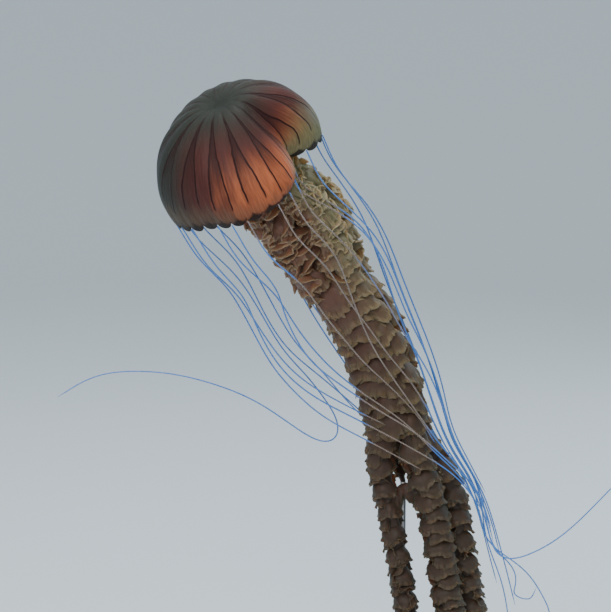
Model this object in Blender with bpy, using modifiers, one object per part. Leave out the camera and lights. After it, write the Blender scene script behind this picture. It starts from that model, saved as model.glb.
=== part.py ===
"""Compass sea nettle (Chrysaora hysoscella), life size, swimming on a plain display stand.

Metres, +Z up. The origin is the centre of the stand base's underside, -Y is the side the
animal is seen from, and the long arms trail down and to the right (+X) of the bell.
"""

import math

import bmesh
import bpy
import numpy as np
from mathutils import Euler, Matrix, Vector
from mathutils.bvhtree import BVHTree

# Driving dimensions.
GAP = 0.0003
BELL_RADIUS = 0.106
BELL_RISE = 0.089
BELL_CENTRE = Vector((-0.140, -0.105, 0.741))
BELL_TILT = Euler((math.radians(28), math.radians(-23), 0))
BASE_RADIUS = 0.180
BASE_HEIGHT = 0.018
BASE_EDGE = 0.003
BASE_SIDES = 48
ROD_RADIUS = 0.004
ROD_SIDES = 16

# Bell: an umbrella turned about its own +Z, then drawn in along a few folds.
LAPPETS = 32
STEPS_PER_LAPPET = 3
FULLNESS = 0.92
DIMPLE_DEPTH = 0.007
DIMPLE_RADIUS = 0.024
RING_ANGLES = (10, 22, 37, 54, 70, 86)
CLEFT_ANGLE = 101
LAPPET_ANGLE = 107.5
CROWN_WALL = 0.014
RIM_WALL = 0.0035
# Each fold: azimuth and half width in degrees, how far it draws in, how far it lifts the rim, and
# how far the wall sinks midway down.
FOLDS = (
    (-30, 24, 0.60, 0.016, 0.020),
    (-62, 44, 0.0, 0.015, 0.024),
    (150, 16, 0.10, 0.004, 0.0),
    (60, 18, 0.07, 0.003, 0.0),
    (-128, 16, 0.05, 0.002, 0.0),
    (-165, 22, -0.04, -0.005, 0.0),
)

# The line that the mouth arms trail along, from under the crown to just above the base.
ROOT_HEIGHT = 0.052
MOUTH_HEIGHT = -0.027
TRAIL_STEP = 0.005
TRAIL = (
    (-0.074, -0.053, 0.674),
    (-0.038, -0.022, 0.602),
    (0.010, 0.004, 0.523),
    (0.040, 0.018, 0.437),
    (0.054, 0.024, 0.365),
    (0.076, 0.028, 0.298),
    (0.103, 0.030, 0.150),
    (0.126, 0.032, 0.044),
)

# Mouth arms hang in tiers of frills. Each arm: place round the trail in degrees, sideways and
# backwards offset once they part, how many tiers long it is, and its girth there as a share.
TIER = 0.034
TIERS_A_LENGTH = 8
ARMS = {
    "left": (200, (-0.039, -0.004), 24, 0.95),
    "front": (290, (0.014, -0.019), 24.5, 1.15),
    "right": (20, (0.043, 0.012), 24, 1.15),
    "back": (110, (-0.013, 0.022), 16.5, 1.00),
}
# How far each arm's middle lies from the trail, by distance along it.
ARM_SPREAD = (
    (0.00, 0.013),
    (0.08, 0.022),
    (0.12, 0.0290),
    (0.165, 0.0305),
    (0.21, 0.0300),
    (0.28, 0.0245),
    (0.36, 0.0265),
    (0.46, 0.0265),
    (0.56, 0.0200),
)
# The radius of an arm by distance along the trail.
ARM_GIRTH = (
    (0.00, 0.0085),
    (0.08, 0.0140),
    (0.12, 0.0162),
    (0.165, 0.0177),
    (0.21, 0.0190),
    (0.28, 0.0158),
    (0.36, 0.0170),
    (0.46, 0.0160),
    (0.56, 0.0135),
)
ARM_TWIST = math.radians(35)
ARM_PARTING = (0.46, 0.57)
ARM_TIP_LENGTH = 0.09
ARM_TIP_SHARE = 0.35
ARM_SIDES = 9
# An arm's top is cut square to the trail, and turns to lie along the arm over this distance.
SQUARE_TOP = 0.05
FRILL_SWING = 0.10
FRILL_SWELL = 0.30
FRILL_WAIST = 0.03
# Mouth tube: share of the way down and radius. Its top lies against the ceiling at about this angle.
MANUBRIUM = ((0.0, 0.020), (0.35, 0.0225), (0.7, 0.0225), (1.0, 0.021))
MANUBRIUM_SIDES = 20
MANUBRIUM_TOP_ANGLE = 15

# Tentacles: three in each eighth of the rim, in the clefts between lappets.
TENTACLE_RADII = (0.0016, 0.0006)
TENTACLE_STEP = 0.048
TENTACLE_CROWDING = 1.3
GUIDE_STEP = 0.05
WHOLE_BELOW = 0.46
# A tentacle's root sits in its cleft, at most this far out; this much of it is kept clear of the
# rim, reckoned at this share of its radius because the tube is four-sided.
SEAT_REACH = 0.009
SEAT_STEPS = 90
SEAT_LENGTH = 0.008
SEAT_RINGS = 16
SEAT_SPOKES = 12
SEAT_GIRTH = 0.90
# How far along the trail the right-hand ones come, how much less the left-hand ones, and how
# far longer and shorter ones differ round the rim: size, angle per cleft and shift of two waves.
REACH = 0.70
REACH_LESS_LEFT = 0.17
REACH_WAVES = ((0.07, 2.4, 0.0), (0.03, 5.1, 1.0))
# The sleeve that the tentacles follow round the arms, by distance along the trail: how far its
# middle lies to the right, its half widths across and in depth, and the share by which they
# gather to the right.
SLEEVE = (
    (0.10, -0.012, 0.098, 0.095, 0.00),
    (0.16, -0.020, 0.090, 0.088, 0.00),
    (0.25, -0.027, 0.099, 0.077, 0.00),
    (0.34, -0.040, 0.093, 0.065, 0.02),
    (0.44, -0.028, 0.084, 0.060, 0.18),
    (0.52, 0.000, 0.062, 0.056, 0.48),
    (0.60, 0.028, 0.054, 0.054, 0.72),
    (0.72, 0.040, 0.054, 0.054, 0.80),
)
# The sleeve turns with the trail's direction over this distance each way, and a tentacle takes
# its own place in it over the length after that, or over less the nearer to the arms it starts,
# between these two shares of the sleeve.
SLEEVE_EASE = 0.06
SETTLE_LENGTH = 0.22
SETTLE_SHARES = (0.42, 0.90)
# The left-hand ones billow out less far than the sleeve by up to twice this share.
SLACK = 0.10
SLACK_WAVE = 4.2
# Neighbours keep apart in layers, each this share further out than the last.
LAYER = 0.045
LAYERS = 5
# Tentacles behind the arms gather less than those before them, and some gather sooner, by this distance.
GATHER_BEHIND = 0.5
GATHER_SOONER = 0.09
GATHER_WAVE = 3.3
# Each tentacle sways round the sleeve: angle, waves along the trail and shift from one to the next.
SWAY = (0.05, 13, 2.9)
# Past this angle, in degrees, a tentacle behind the arms goes round by the left instead.
BACK_OF_SLEEVE = 170
# A tentacle first falls straight from the rim, as the trail does at this distance but a little
# steeper, and eases into the sleeve over this length.
FALL_AS_AT = 0.30
FALL_STEEPER = 0.38
FALL_LENGTH = 0.18
# Tentacles that leave the bunch, by cleft: past this distance they follow their own points.
STRAYS = {
    29: (
        0.58,
        (
            (0.170, -0.008, 0.236),
            (0.194, -0.010, 0.229),
            (0.253, -0.012, 0.259),
            (0.322, -0.026, 0.335),
        ),
    ),
    30: (
        0.58,
        (
            (0.162, 0.020, 0.246),
            (0.209, 0.010, 0.216),
            (0.239, 0.004, 0.171),
            (0.247, 0.006, 0.140),
        ),
    ),
    1: (
        0.58,
        (
            (0.164, 0.028, 0.244),
            (0.182, 0.028, 0.201),
            (0.193, 0.028, 0.152),
            (0.195, 0.028, 0.114),
        ),
    ),
    3: (
        0.58,
        (
            (0.166, 0.050, 0.262),
            (0.180, 0.054, 0.216),
            (0.202, 0.052, 0.212),
            (0.209, 0.046, 0.192),
            (0.199, 0.044, 0.168),
            (0.222, 0.040, 0.162),
            (0.231, 0.034, 0.180),
        ),
    ),
    15: (
        0.38,
        (
            (-0.036, 0.084, 0.408),
            (-0.022, 0.098, 0.376),
            (-0.032, 0.106, 0.352),
            (-0.062, 0.108, 0.362),
            (-0.142, 0.108, 0.416),
            (-0.234, 0.102, 0.448),
            (-0.312, 0.097, 0.454),
            (-0.352, 0.094, 0.445),
            (-0.394, 0.090, 0.421),
        ),
    ),
}


def smooth(x):
    """0 below 0, 1 above 1, and an even ease between."""
    x = min(1.0, max(0.0, x))
    return x * x * (3 - 2 * x)


def spaced(start, end, steps):
    """Plain numbers from start to end in equal steps."""
    return [start + (end - start) * i / steps for i in range(steps + 1)]


def read(table, x, column=1):
    """The value at x of a column of a table whose rows start with x."""
    return float(np.interp(x, [row[0] for row in table], [row[column] for row in table]))


def distances(points):
    """How far along its own line each point lies."""
    return np.concatenate([[0], np.cumsum([(b - a).length for a, b in zip(points, points[1:])])])


def place_on(points, run, s):
    """The place at distance s on a line whose points lie at the distances in run."""
    return Vector([np.interp(s, run, [q[k] for q in points]) for k in range(3)])


def curve_through(points, step, crowding=1.0):
    """Points about `step` apart, or closer at the start, on a smooth curve through the given ones."""
    p = [Vector(q) for q in points]
    p = [2 * p[0] - p[1], *p, 2 * p[-1] - p[-2]]
    fine = []
    for a, b, c, d in zip(p, p[1:], p[2:], p[3:]):
        slope = c - a
        bend = 2 * a - 5 * b + 4 * c - d
        twist = 3 * b - a - 3 * c + d
        fine += [b + 0.5 * (slope * t + bend * t**2 + twist * t**3) for t in spaced(0, 1, 12)[:-1]]
    fine.append(p[-2])
    run = distances(fine)
    stations = [run[-1] * t**crowding for t in spaced(0, 1, max(2, round(run[-1] / step)))]
    return [place_on(fine, run, s) for s in stations]


# ---------------------------------------------------------------- bell

def fold_at(azimuth, reach):
    """(share the radius shrinks by, how far the wall lifts); reach is 0 at the crown and 1 at the rim."""
    draw, lift = 0.0, 0.0
    for centre, width, depth, rise, sink in FOLDS:
        away = (math.degrees(azimuth) - centre + 180) % 360 - 180
        shape = math.exp(-((abs(away) / width) ** 1.6))
        draw += depth * shape * (0.12 + 0.88 * reach) * smooth(reach * 4)
        dip = smooth(reach * 3) * math.sin(math.pi * min(1.0, reach))
        lift += rise * shape * reach**2 - sink * shape * dip
    return draw, lift


def bell_point(azimuth, polar, inward=0.0):
    """A point of the umbrella's outer face; polar is 0 degrees at the crown and past 90 on the skirt."""
    turn = math.radians(polar)
    draw, lift = fold_at(azimuth, polar / LAPPET_ANGLE)
    r = BELL_RADIUS * math.sin(turn) ** FULLNESS
    z = BELL_RISE * math.cos(turn) - DIMPLE_DEPTH * math.exp(-((r / DIMPLE_RADIUS) ** 2)) + lift
    r, z = r - inward * math.sin(turn), z - inward * math.cos(turn)
    r *= 1 - draw
    return Vector((r * math.cos(azimuth), r * math.sin(azimuth), z))


def bell_matrix():
    return Matrix.Translation(BELL_CENTRE) @ BELL_TILT.to_matrix().to_4x4()


def turned_surface(name, profile, steps):
    """The open surface that a Screw modifier turns from a profile of (radius, height), as a mesh."""
    line = bpy.data.meshes.new(name)
    line.from_pydata([(r, 0, z) for r, z in profile], [(i, i + 1) for i in range(len(profile) - 1)], [])
    turned = bpy.data.objects.new(name, line)
    bpy.context.scene.collection.objects.link(turned)
    screw = turned.modifiers.new("turn", "SCREW")
    screw.steps = screw.render_steps = steps
    screw.use_merge_vertices = True
    screw.merge_threshold = 0.00001
    screw.use_smooth_shade = True
    graph = bpy.context.evaluated_depsgraph_get()
    surface = bpy.data.meshes.new_from_object(turned.evaluated_get(graph))
    bpy.data.objects.remove(turned)
    return surface


def make_bell():
    """Turns the umbrella, cuts its rim into lappets, draws in the folds and gives it a wall."""
    angles = [0.01, *RING_ANGLES, LAPPET_ANGLE]
    surface = turned_surface("bell", [(a / LAPPET_ANGLE, -a) for a in angles], LAPPETS * STEPS_PER_LAPPET)
    for vertex in surface.vertices:
        polar = -vertex.co.z
        azimuth = math.atan2(vertex.co.y, vertex.co.x)
        step = round(azimuth / (2 * math.pi) * LAPPETS * STEPS_PER_LAPPET)
        if polar > CLEFT_ANGLE and step % STEPS_PER_LAPPET == 0:
            polar = CLEFT_ANGLE
        vertex.co = bell_point(azimuth, polar)
    bell = add_object("bell", surface, "bell")
    bell.matrix_world = bell_matrix()
    thickness = bell.vertex_groups.new(name="wall")
    for vertex in surface.vertices:
        reach = 1 - max(0.0, vertex.co.z - bell_point(0, LAPPET_ANGLE).z) / BELL_RISE
        wall = CROWN_WALL + (RIM_WALL - CROWN_WALL) * smooth(reach)
        thickness.add([vertex.index], wall / CROWN_WALL, "REPLACE")
    wall = bell.modifiers.new("wall", "SOLIDIFY")
    wall.thickness = CROWN_WALL
    wall.offset = -1
    wall.vertex_group = thickness.name
    return bell


# ---------------------------------------------------------------- trail and arms

def trail_points():
    root = bell_matrix() @ Vector((0, 0, ROOT_HEIGHT))
    mouth = bell_matrix() @ Vector((0, 0, MOUTH_HEIGHT))
    return curve_through([root, mouth, *TRAIL], TRAIL_STEP)


class Trail:
    """The trailing line by distance along it, with a frame: `side` points right and `back` away."""

    def __init__(self):
        self.points = trail_points()
        self.run = distances(self.points)
        self.length = self.run[-1]

    def at(self, s):
        return place_on(self.points, self.run, s)

    def frame(self, s, reach=0.012):
        along = (self.at(s + reach) - self.at(s - reach)).normalized()
        back = Vector((0, 1, 0))
        back = (back - back.dot(along) * along).normalized()
        return along, along.cross(back), back


def arm_centre(trail, arm, s):
    """The middle of a mouth arm at a distance along the trail: bundled first, then parted."""
    place, parted, _tiers, _share = ARMS[arm]
    _along, side, back = trail.frame(s)
    angle = math.radians(place) + ARM_TWIST * s / trail.length
    bundled = read(ARM_SPREAD, s) * (math.cos(angle) * side + math.sin(angle) * back)
    free = smooth((s - ARM_PARTING[0]) / (ARM_PARTING[1] - ARM_PARTING[0]))
    return trail.at(s) + bundled.lerp(Vector((*parted, 0)), free)


def arm_ring(trail, arm, s, cut=0.0):
    """One section of an arm: a lobed ring, swollen outwards and swung from side to side by the frills."""
    place, _parted, tiers, share = ARMS[arm]
    here = arm_centre(trail, arm, s)
    own = (arm_centre(trail, arm, s + 0.01) - arm_centre(trail, arm, s - 0.01)).normalized()
    along = trail.frame(s)[0].lerp(own, smooth(s / SQUARE_TOP)).normalized()
    outward = here - trail.at(s)
    outward = (outward - outward.dot(along) * along).normalized()
    across = along.cross(outward)
    free = smooth((s - ARM_PARTING[0]) / (ARM_PARTING[1] - ARM_PARTING[0]))
    girth = read(ARM_GIRTH, s) * (1 + (share - 1) * free)
    girth *= ARM_TIP_SHARE + (1 - ARM_TIP_SHARE) * smooth((tiers * TIER - s) / ARM_TIP_LENGTH)
    wave = math.pi * s / TIER
    ring = []
    for k in range(ARM_SIDES):
        angle = 2 * math.pi * k / ARM_SIDES
        swell = FRILL_SWELL * (0.5 + 0.5 * math.cos(angle)) * math.sin(wave) ** 2 - FRILL_WAIST
        swing = FRILL_SWING * math.sin(angle) * math.sin(wave + math.radians(place))
        r = girth * (1 + swell + swing)
        ring.append(here + cut * along + r * (math.cos(angle) * outward + math.sin(angle) * across))
    return ring


def arm_end(trail, arm):
    """The last section of an arm, cut level: a rod can stand under it."""
    ring = arm_ring(trail, arm, ARMS[arm][2] * TIER)
    level = sum(p.z for p in ring) / len(ring)
    return [Vector((p.x, p.y, level)) for p in ring]


def loft(name, rings, slot):
    """A closed solid through rings of as many points each, with a point cap at each end."""
    made = bmesh.new()
    rows = [[made.verts.new(p) for p in ring] for ring in rings]
    for row, after in zip(rows, rows[1:]):
        for k in range(len(row)):
            n = (k + 1) % len(row)
            made.faces.new((row[k], row[n], after[n], after[k]))
    made.faces.new(rows[0][::-1])
    made.faces.new(rows[-1])
    bmesh.ops.recalc_face_normals(made, faces=made.faces)
    bmesh.ops.triangulate(made, faces=[f for f in made.faces if len(f.verts) > 4])
    mesh = bpy.data.meshes.new(name)
    made.to_mesh(mesh)
    made.free()
    mesh.shade_smooth()
    return add_object(name, mesh, slot)


def make_arms(trail):
    """Each mouth arm in lengths of a few tiers, with a ring at each tier's fold and one at its edge."""
    for arm, (_place, _parted, tiers, _share) in ARMS.items():
        lengths = round(tiers / TIERS_A_LENGTH)
        for i in range(lengths):
            first = i * TIERS_A_LENGTH
            last = tiers if i == lengths - 1 else first + TIERS_A_LENGTH
            stations = spaced(first * TIER, last * TIER, round((last - first) * 2))
            rings = [arm_ring(trail, arm, s) for s in stations]
            if i > 0:
                rings[0] = arm_ring(trail, arm, stations[0], GAP / 2)
            if i < lengths - 1:
                rings[-1] = arm_ring(trail, arm, stations[-1], -GAP / 2)
            else:
                rings[-1] = arm_end(trail, arm)
            loft(f"arm_{arm}_{i + 1}", rings, "arms")


def ceiling_height():
    """The lowest place of the subumbrella's ceiling round the top of the mouth tube."""
    azimuths = spaced(0, 2 * math.pi, LAPPETS)
    return min(bell_point(a, MANUBRIUM_TOP_ANGLE, CROWN_WALL).z for a in azimuths)


def make_manubrium(trail):
    """The short mouth tube that carries the arms, from the subumbrella's ceiling down to their tops."""
    along, side, back = trail.frame(0.0)
    ceiling = bell_matrix() @ Vector((0, 0, ceiling_height() - GAP))
    bottom = trail.at(0) - GAP * along
    rings = []
    for share, radius in MANUBRIUM:
        centre = ceiling.lerp(bottom, share)
        turns = spaced(0, 2 * math.pi, MANUBRIUM_SIDES)[:-1]
        rings.append([centre + radius * (math.cos(a) * side + math.sin(a) * back) for a in turns])
    loft("manubrium", rings, "arms")


# ---------------------------------------------------------------- tentacles

def clefts():
    """The clefts that hold a tentacle: every fourth holds a sense organ instead."""
    return [k for k in range(LAPPETS) if k % 4]


def tentacle_reach(cleft):
    """How far along the trail a tentacle comes: longer and shorter ones alternate round the rim."""
    azimuth = 2 * math.pi * cleft / LAPPETS
    leftness = 0.5 - 0.5 * math.cos(azimuth)
    waves = sum(size * math.sin(turn * cleft + shift) for size, turn, shift in REACH_WAVES)
    return REACH - REACH_LESS_LEFT * leftness + waves


def fall_direction(trail):
    return (trail.frame(FALL_AS_AT)[0] + Vector((0, 0, -FALL_STEEPER))).normalized()


def seat(trail, rim, cleft):
    """Where a tentacle's root lies: as deep in its cleft as the gap to the rim allows."""
    inner = bell_matrix() @ bell_point(2 * math.pi * cleft / LAPPETS, CLEFT_ANGLE, RIM_WALL / 2)
    falling = fall_direction(trail)
    side = falling.orthogonal().normalized()
    up = falling.cross(side)
    girth = TENTACLE_RADII[0] * SEAT_GIRTH
    spokes = [girth * (math.cos(a) * side + math.sin(a) * up) for a in spaced(0, 2 * math.pi, SEAT_SPOKES)]
    for out in spaced(0, SEAT_REACH, SEAT_STEPS):
        stretch = [inner + (out + more) * falling for more in spaced(0, SEAT_LENGTH, SEAT_RINGS)]
        if min(rim.find_nearest(middle + spoke)[3] for middle in stretch for spoke in spokes) >= GAP:
            break
    return stretch[0]


def tentacle_guides(trail, rim, cleft):
    """Points that a tentacle passes: out of its cleft, then along the sleeve round the arms."""
    outer = seat(trail, rim, cleft)
    root = bell_matrix() @ Vector((0, 0, ROOT_HEIGHT))
    begin = (outer - root).dot(trail.frame(0.03)[0])
    _along, side, back = trail.frame(begin, SLEEVE_EASE)
    start = outer - trail.at(begin)
    middle, half_width, half_depth = (read(SLEEVE, begin, column) for column in (1, 2, 3))
    across, away = (start.dot(side) - middle) / half_width, start.dot(back) / half_depth
    place = math.atan2(away, across)
    if place > math.radians(BACK_OF_SLEEVE):
        place -= 2 * math.pi
    first_share = math.hypot(across, away)
    own_share = 1 - SLACK * (0.5 - 0.5 * math.cos(place)) * (1 + math.sin(SLACK_WAVE * cleft))
    own_share += LAYER * (2 * cleft % LAYERS - 1)
    sooner = GATHER_SOONER * (0.5 + 0.5 * math.sin(GATHER_WAVE * cleft))
    near, far = SETTLE_SHARES
    settle = SETTLE_LENGTH * smooth((first_share - near) / (far - near))
    sway, waves, shift = SWAY

    def beside(s):
        middle, half_width, half_depth = (read(SLEEVE, s, column) for column in (1, 2, 3))
        gather = read(SLEEVE, s + sooner, 4)
        _along, side, back = trail.frame(s, SLEEVE_EASE)
        angle = place * (1 - gather * (1 if place < 0 else GATHER_BEHIND))
        angle += sway * (math.sin(waves * s + shift * cleft) - math.sin(waves * begin + shift * cleft))
        share = first_share + (own_share - first_share) * smooth((s - begin) / settle)
        across = middle + half_width * share * math.cos(angle)
        return trail.at(s) + across * side + half_depth * share * math.sin(angle) * back

    own = STRAYS.get(cleft)
    last = own[0] if own else tentacle_reach(cleft)
    falling = fall_direction(trail)
    guides = []
    for s in spaced(begin, last, round((last - begin) / GUIDE_STEP)):
        fallen = outer + (s - begin) * falling
        guides.append(fallen.lerp(beside(s), smooth((s - begin) / FALL_LENGTH)))
    return guides + [Vector(q) for q in own[1]] if own else guides


def tube(name, points, radii, slot):
    """A thin tapering tube along straight spans, with filled ends."""
    data = bpy.data.curves.new(name, "CURVE")
    data.dimensions = "3D"
    data.bevel_depth = 1.0
    data.bevel_resolution = 0
    data.use_fill_caps = True
    spline = data.splines.new("POLY")
    spline.points.add(len(points) - 1)
    for point, place, radius in zip(spline.points, points, radii):
        point.co = (*place, 1)
        point.radius = radius
    spline.use_smooth = True
    return add_object(name, data, slot)


def make_tentacles(trail, bell):
    """Each tentacle in two lengths, or whole if it is short."""
    graph = bpy.context.evaluated_depsgraph_get()
    walled = bpy.data.meshes.new_from_object(bell.evaluated_get(graph))
    walled.transform(bell_matrix())
    rim = BVHTree.FromPolygons([v.co for v in walled.vertices], [f.vertices for f in walled.polygons])
    for number, cleft in enumerate(clefts(), start=1):
        points = curve_through(tentacle_guides(trail, rim, cleft), TENTACLE_STEP, TENTACLE_CROWDING)
        radii = spaced(*TENTACLE_RADII, len(points) - 1)
        length = sum((b - a).length for a, b in zip(points, points[1:]))
        if length < WHOLE_BELOW:
            tube(f"tentacle_{number:02d}", points, radii, "tentacles")
            continue
        half = len(points) // 2
        upper, lower = list(points[: half + 1]), list(points[half:])
        upper[-1] = upper[-1] + (upper[-2] - upper[-1]).normalized() * GAP / 2
        lower[0] = lower[0] + (lower[1] - lower[0]).normalized() * GAP / 2
        tube(f"tentacle_{number:02d}_upper", upper, radii[: half + 1], "tentacles")
        tube(f"tentacle_{number:02d}_lower", lower, radii[half:], "tentacles")


# ---------------------------------------------------------------- stand

def make_stand(trail):
    """A round base and one rod up to the blunt end of the back arm."""
    bpy.ops.mesh.primitive_cylinder_add(
        vertices=BASE_SIDES, radius=BASE_RADIUS, depth=BASE_HEIGHT, location=(0, 0, BASE_HEIGHT / 2)
    )
    base = bpy.context.object
    bevel = base.modifiers.new("edge", "BEVEL")
    bevel.width = BASE_EDGE
    bevel.segments = 1
    bevel.angle_limit = math.radians(40)
    adopt(base, "stand_base", "stand_base")
    foot = Vector(np.mean(arm_end(trail, "back"), axis=0))
    top = foot.z - GAP
    bottom = BASE_HEIGHT + GAP
    bpy.ops.mesh.primitive_cylinder_add(
        vertices=ROD_SIDES,
        radius=ROD_RADIUS,
        depth=top - bottom,
        location=(foot.x, foot.y, (top + bottom) / 2),
    )
    adopt(bpy.context.object, "stand_rod", "stand_rod")


# ---------------------------------------------------------------- materials and scene

FINISHES = {
    "bell": ((0.34, 0.14, 0.07), 0.35, 0.0),
    "arms": ((0.42, 0.27, 0.17), 0.45, 0.0),
    "tentacles": ((0.16, 0.45, 0.72), 0.30, 0.0),
    "stand_base": ((0.05, 0.05, 0.055), 0.50, 0.0),
    "stand_rod": ((0.60, 0.60, 0.62), 0.28, 1.0),
}


def finish(slot):
    """The Principled material of a slot, made once."""
    material = bpy.data.materials.get(slot)
    if material is None:
        colour, roughness, metallic = FINISHES[slot]
        material = bpy.data.materials.new(slot)
        material.use_nodes = True
        shader = material.node_tree.nodes["Principled BSDF"]
        shader.inputs["Base Color"].default_value = (*colour, 1)
        shader.inputs["Roughness"].default_value = roughness
        shader.inputs["Metallic"].default_value = metallic
    return material


def add_object(name, data, slot):
    made = bpy.data.objects.new(name, data)
    data.materials.append(finish(slot))
    bpy.data.collections["sea_nettle"].objects.link(made)
    return made


def adopt(made, name, slot):
    """Names a primitive, gives it its finish and moves it to the object's collection."""
    made.name = made.data.name = name
    made.data.materials.append(finish(slot))
    for collection in list(made.users_collection):
        collection.objects.unlink(made)
    bpy.data.collections["sea_nettle"].objects.link(made)


def main():
    for old in list(bpy.data.objects):
        bpy.data.objects.remove(old)
    bpy.context.scene.collection.children.link(bpy.data.collections.new("sea_nettle"))
    trail = Trail()
    bell = make_bell()
    make_manubrium(trail)
    make_arms(trail)
    make_tentacles(trail, bell)
    make_stand(trail)


main()
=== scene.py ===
"""Dresses the compass sea nettle (Chrysaora hysoscella): jelly bell with its compass marks, four frilled
mouth arms, the stinging tentacles and the display stand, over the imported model.

Metres, +Z up. -Y is the side the animal is seen from, and the arms trail down towards +X.
"""

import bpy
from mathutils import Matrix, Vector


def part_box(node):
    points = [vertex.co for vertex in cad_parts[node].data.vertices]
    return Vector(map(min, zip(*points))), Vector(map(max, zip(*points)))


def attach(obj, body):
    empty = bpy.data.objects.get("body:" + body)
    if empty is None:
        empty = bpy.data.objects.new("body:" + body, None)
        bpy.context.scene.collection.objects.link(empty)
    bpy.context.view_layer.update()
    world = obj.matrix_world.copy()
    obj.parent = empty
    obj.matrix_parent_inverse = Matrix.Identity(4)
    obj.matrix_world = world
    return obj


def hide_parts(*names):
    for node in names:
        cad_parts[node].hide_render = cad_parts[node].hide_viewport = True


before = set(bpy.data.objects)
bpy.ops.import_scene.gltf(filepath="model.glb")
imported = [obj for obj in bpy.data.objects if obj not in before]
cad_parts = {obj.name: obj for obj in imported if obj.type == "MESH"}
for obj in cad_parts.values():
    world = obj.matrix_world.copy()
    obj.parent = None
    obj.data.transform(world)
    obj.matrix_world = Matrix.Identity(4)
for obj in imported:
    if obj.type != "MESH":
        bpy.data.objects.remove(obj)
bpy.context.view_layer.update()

import copy
import math

import bpy
import numpy as np
from mathutils import Euler, Matrix, Vector
from mathutils.bvhtree import BVHTree

bl_info = {
    "name": "Compass Sea Nettle",
    "version": (1, 0, 0),
    "blender": (4, 5, 0),
    "location": "View3D > Sidebar > Sea Nettle",
    "description": "Models a life-size compass sea nettle on its display stand",
    "category": "Add Mesh",
}

# ---------------------------------------------------------------- the animal's own dimensions

GAP = 0.0003
BELL_RADIUS = 0.106
BELL_RISE = 0.089
BELL_CENTRE = Vector((-0.140, -0.105, 0.741))
BELL_TILT = Euler((math.radians(28), math.radians(-23), 0))

LAPPETS = 32
FULLNESS = 0.92
DIMPLE_DEPTH = 0.007
DIMPLE_RADIUS = 0.024
CLEFT_ANGLE = 101
LAPPET_ANGLE = 107.5
CROWN_WALL = 0.014
RIM_WALL = 0.0035
# Each fold: azimuth and half width in degrees, how far it draws in, how far it lifts the rim, and
# how far the wall sinks midway down.
FOLDS = (
    (-30, 24, 0.60, 0.016, 0.020),
    (-62, 44, 0.0, 0.015, 0.024),
    (150, 16, 0.10, 0.004, 0.0),
    (60, 18, 0.07, 0.003, 0.0),
    (-128, 16, 0.05, 0.002, 0.0),
    (-165, 22, -0.04, -0.005, 0.0),
)

# The line that the mouth arms trail along, from under the crown to just above the base.
ROOT_HEIGHT = 0.052
MOUTH_HEIGHT = -0.027
TRAIL_STEP = 0.005
TRAIL = (
    (-0.074, -0.053, 0.674),
    (-0.038, -0.022, 0.602),
    (0.010, 0.004, 0.523),
    (0.040, 0.018, 0.437),
    (0.054, 0.024, 0.365),
    (0.076, 0.028, 0.298),
    (0.103, 0.030, 0.150),
    (0.126, 0.032, 0.044),
)

# Mouth arms hang in tiers of frills. Each arm: place round the trail in degrees, sideways and
# backwards offset once they part, how many tiers long it is, and its girth there as a share.
TIER = 0.034
ARMS = {
    "left": (200, (-0.039, -0.004), 24, 0.95),
    "front": (290, (0.014, -0.019), 24.5, 1.15),
    "right": (20, (0.043, 0.012), 24, 1.15),
    "back": (110, (-0.013, 0.022), 16.5, 1.00),
}
# How far each arm's middle lies from the trail, by distance along it.
ARM_SPREAD = (
    (0.00, 0.013),
    (0.08, 0.022),
    (0.12, 0.0290),
    (0.165, 0.0305),
    (0.21, 0.0300),
    (0.28, 0.0245),
    (0.36, 0.0265),
    (0.46, 0.0265),
    (0.56, 0.0200),
)
# The radius of an arm by distance along the trail.
ARM_GIRTH = (
    (0.00, 0.0085),
    (0.08, 0.0140),
    (0.12, 0.0162),
    (0.165, 0.0177),
    (0.21, 0.0190),
    (0.28, 0.0158),
    (0.36, 0.0170),
    (0.46, 0.0160),
    (0.56, 0.0135),
)
ARM_TWIST = math.radians(35)
ARM_PARTING = (0.46, 0.57)
ARM_TIP_LENGTH = 0.09
ARM_TIP_SHARE = 0.35
# An arm's top is cut square to the trail, and turns to lie along the arm over this distance.
SQUARE_TOP = 0.05
# Mouth tube: share of the way down and radius. Its top lies against the ceiling at about this angle.
MANUBRIUM = ((0.0, 0.020), (0.35, 0.0225), (0.7, 0.0225), (1.0, 0.021))
MANUBRIUM_TOP_ANGLE = 15

# Tentacles: three in each eighth of the rim, in the clefts between lappets.
TENTACLE_RADII = (0.0016, 0.0006)
GUIDE_STEP = 0.05
# A tentacle's root sits in its cleft, at most this far out; this much of it is kept clear of the
# rim, reckoned at this share of its radius because the tube is four-sided.
SEAT_REACH = 0.009
SEAT_STEPS = 90
SEAT_LENGTH = 0.008
SEAT_RINGS = 16
SEAT_SPOKES = 12
SEAT_GIRTH = 0.90
# How far along the trail the right-hand ones come, how much less the left-hand ones, and how
# far longer and shorter ones differ round the rim: size, angle per cleft and shift of two waves.
REACH = 0.70
REACH_LESS_LEFT = 0.17
REACH_WAVES = ((0.07, 2.4, 0.0), (0.03, 5.1, 1.0))
# The sleeve that the tentacles follow round the arms, by distance along the trail: how far its
# middle lies to the right, its half widths across and in depth, and the share by which they
# gather to the right.
SLEEVE = (
    (0.10, -0.012, 0.098, 0.095, 0.00),
    (0.16, -0.020, 0.090, 0.088, 0.00),
    (0.25, -0.027, 0.099, 0.077, 0.00),
    (0.34, -0.040, 0.093, 0.065, 0.02),
    (0.44, -0.028, 0.084, 0.060, 0.18),
    (0.52, 0.000, 0.062, 0.056, 0.48),
    (0.60, 0.028, 0.054, 0.054, 0.72),
    (0.72, 0.040, 0.054, 0.054, 0.80),
)
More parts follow.
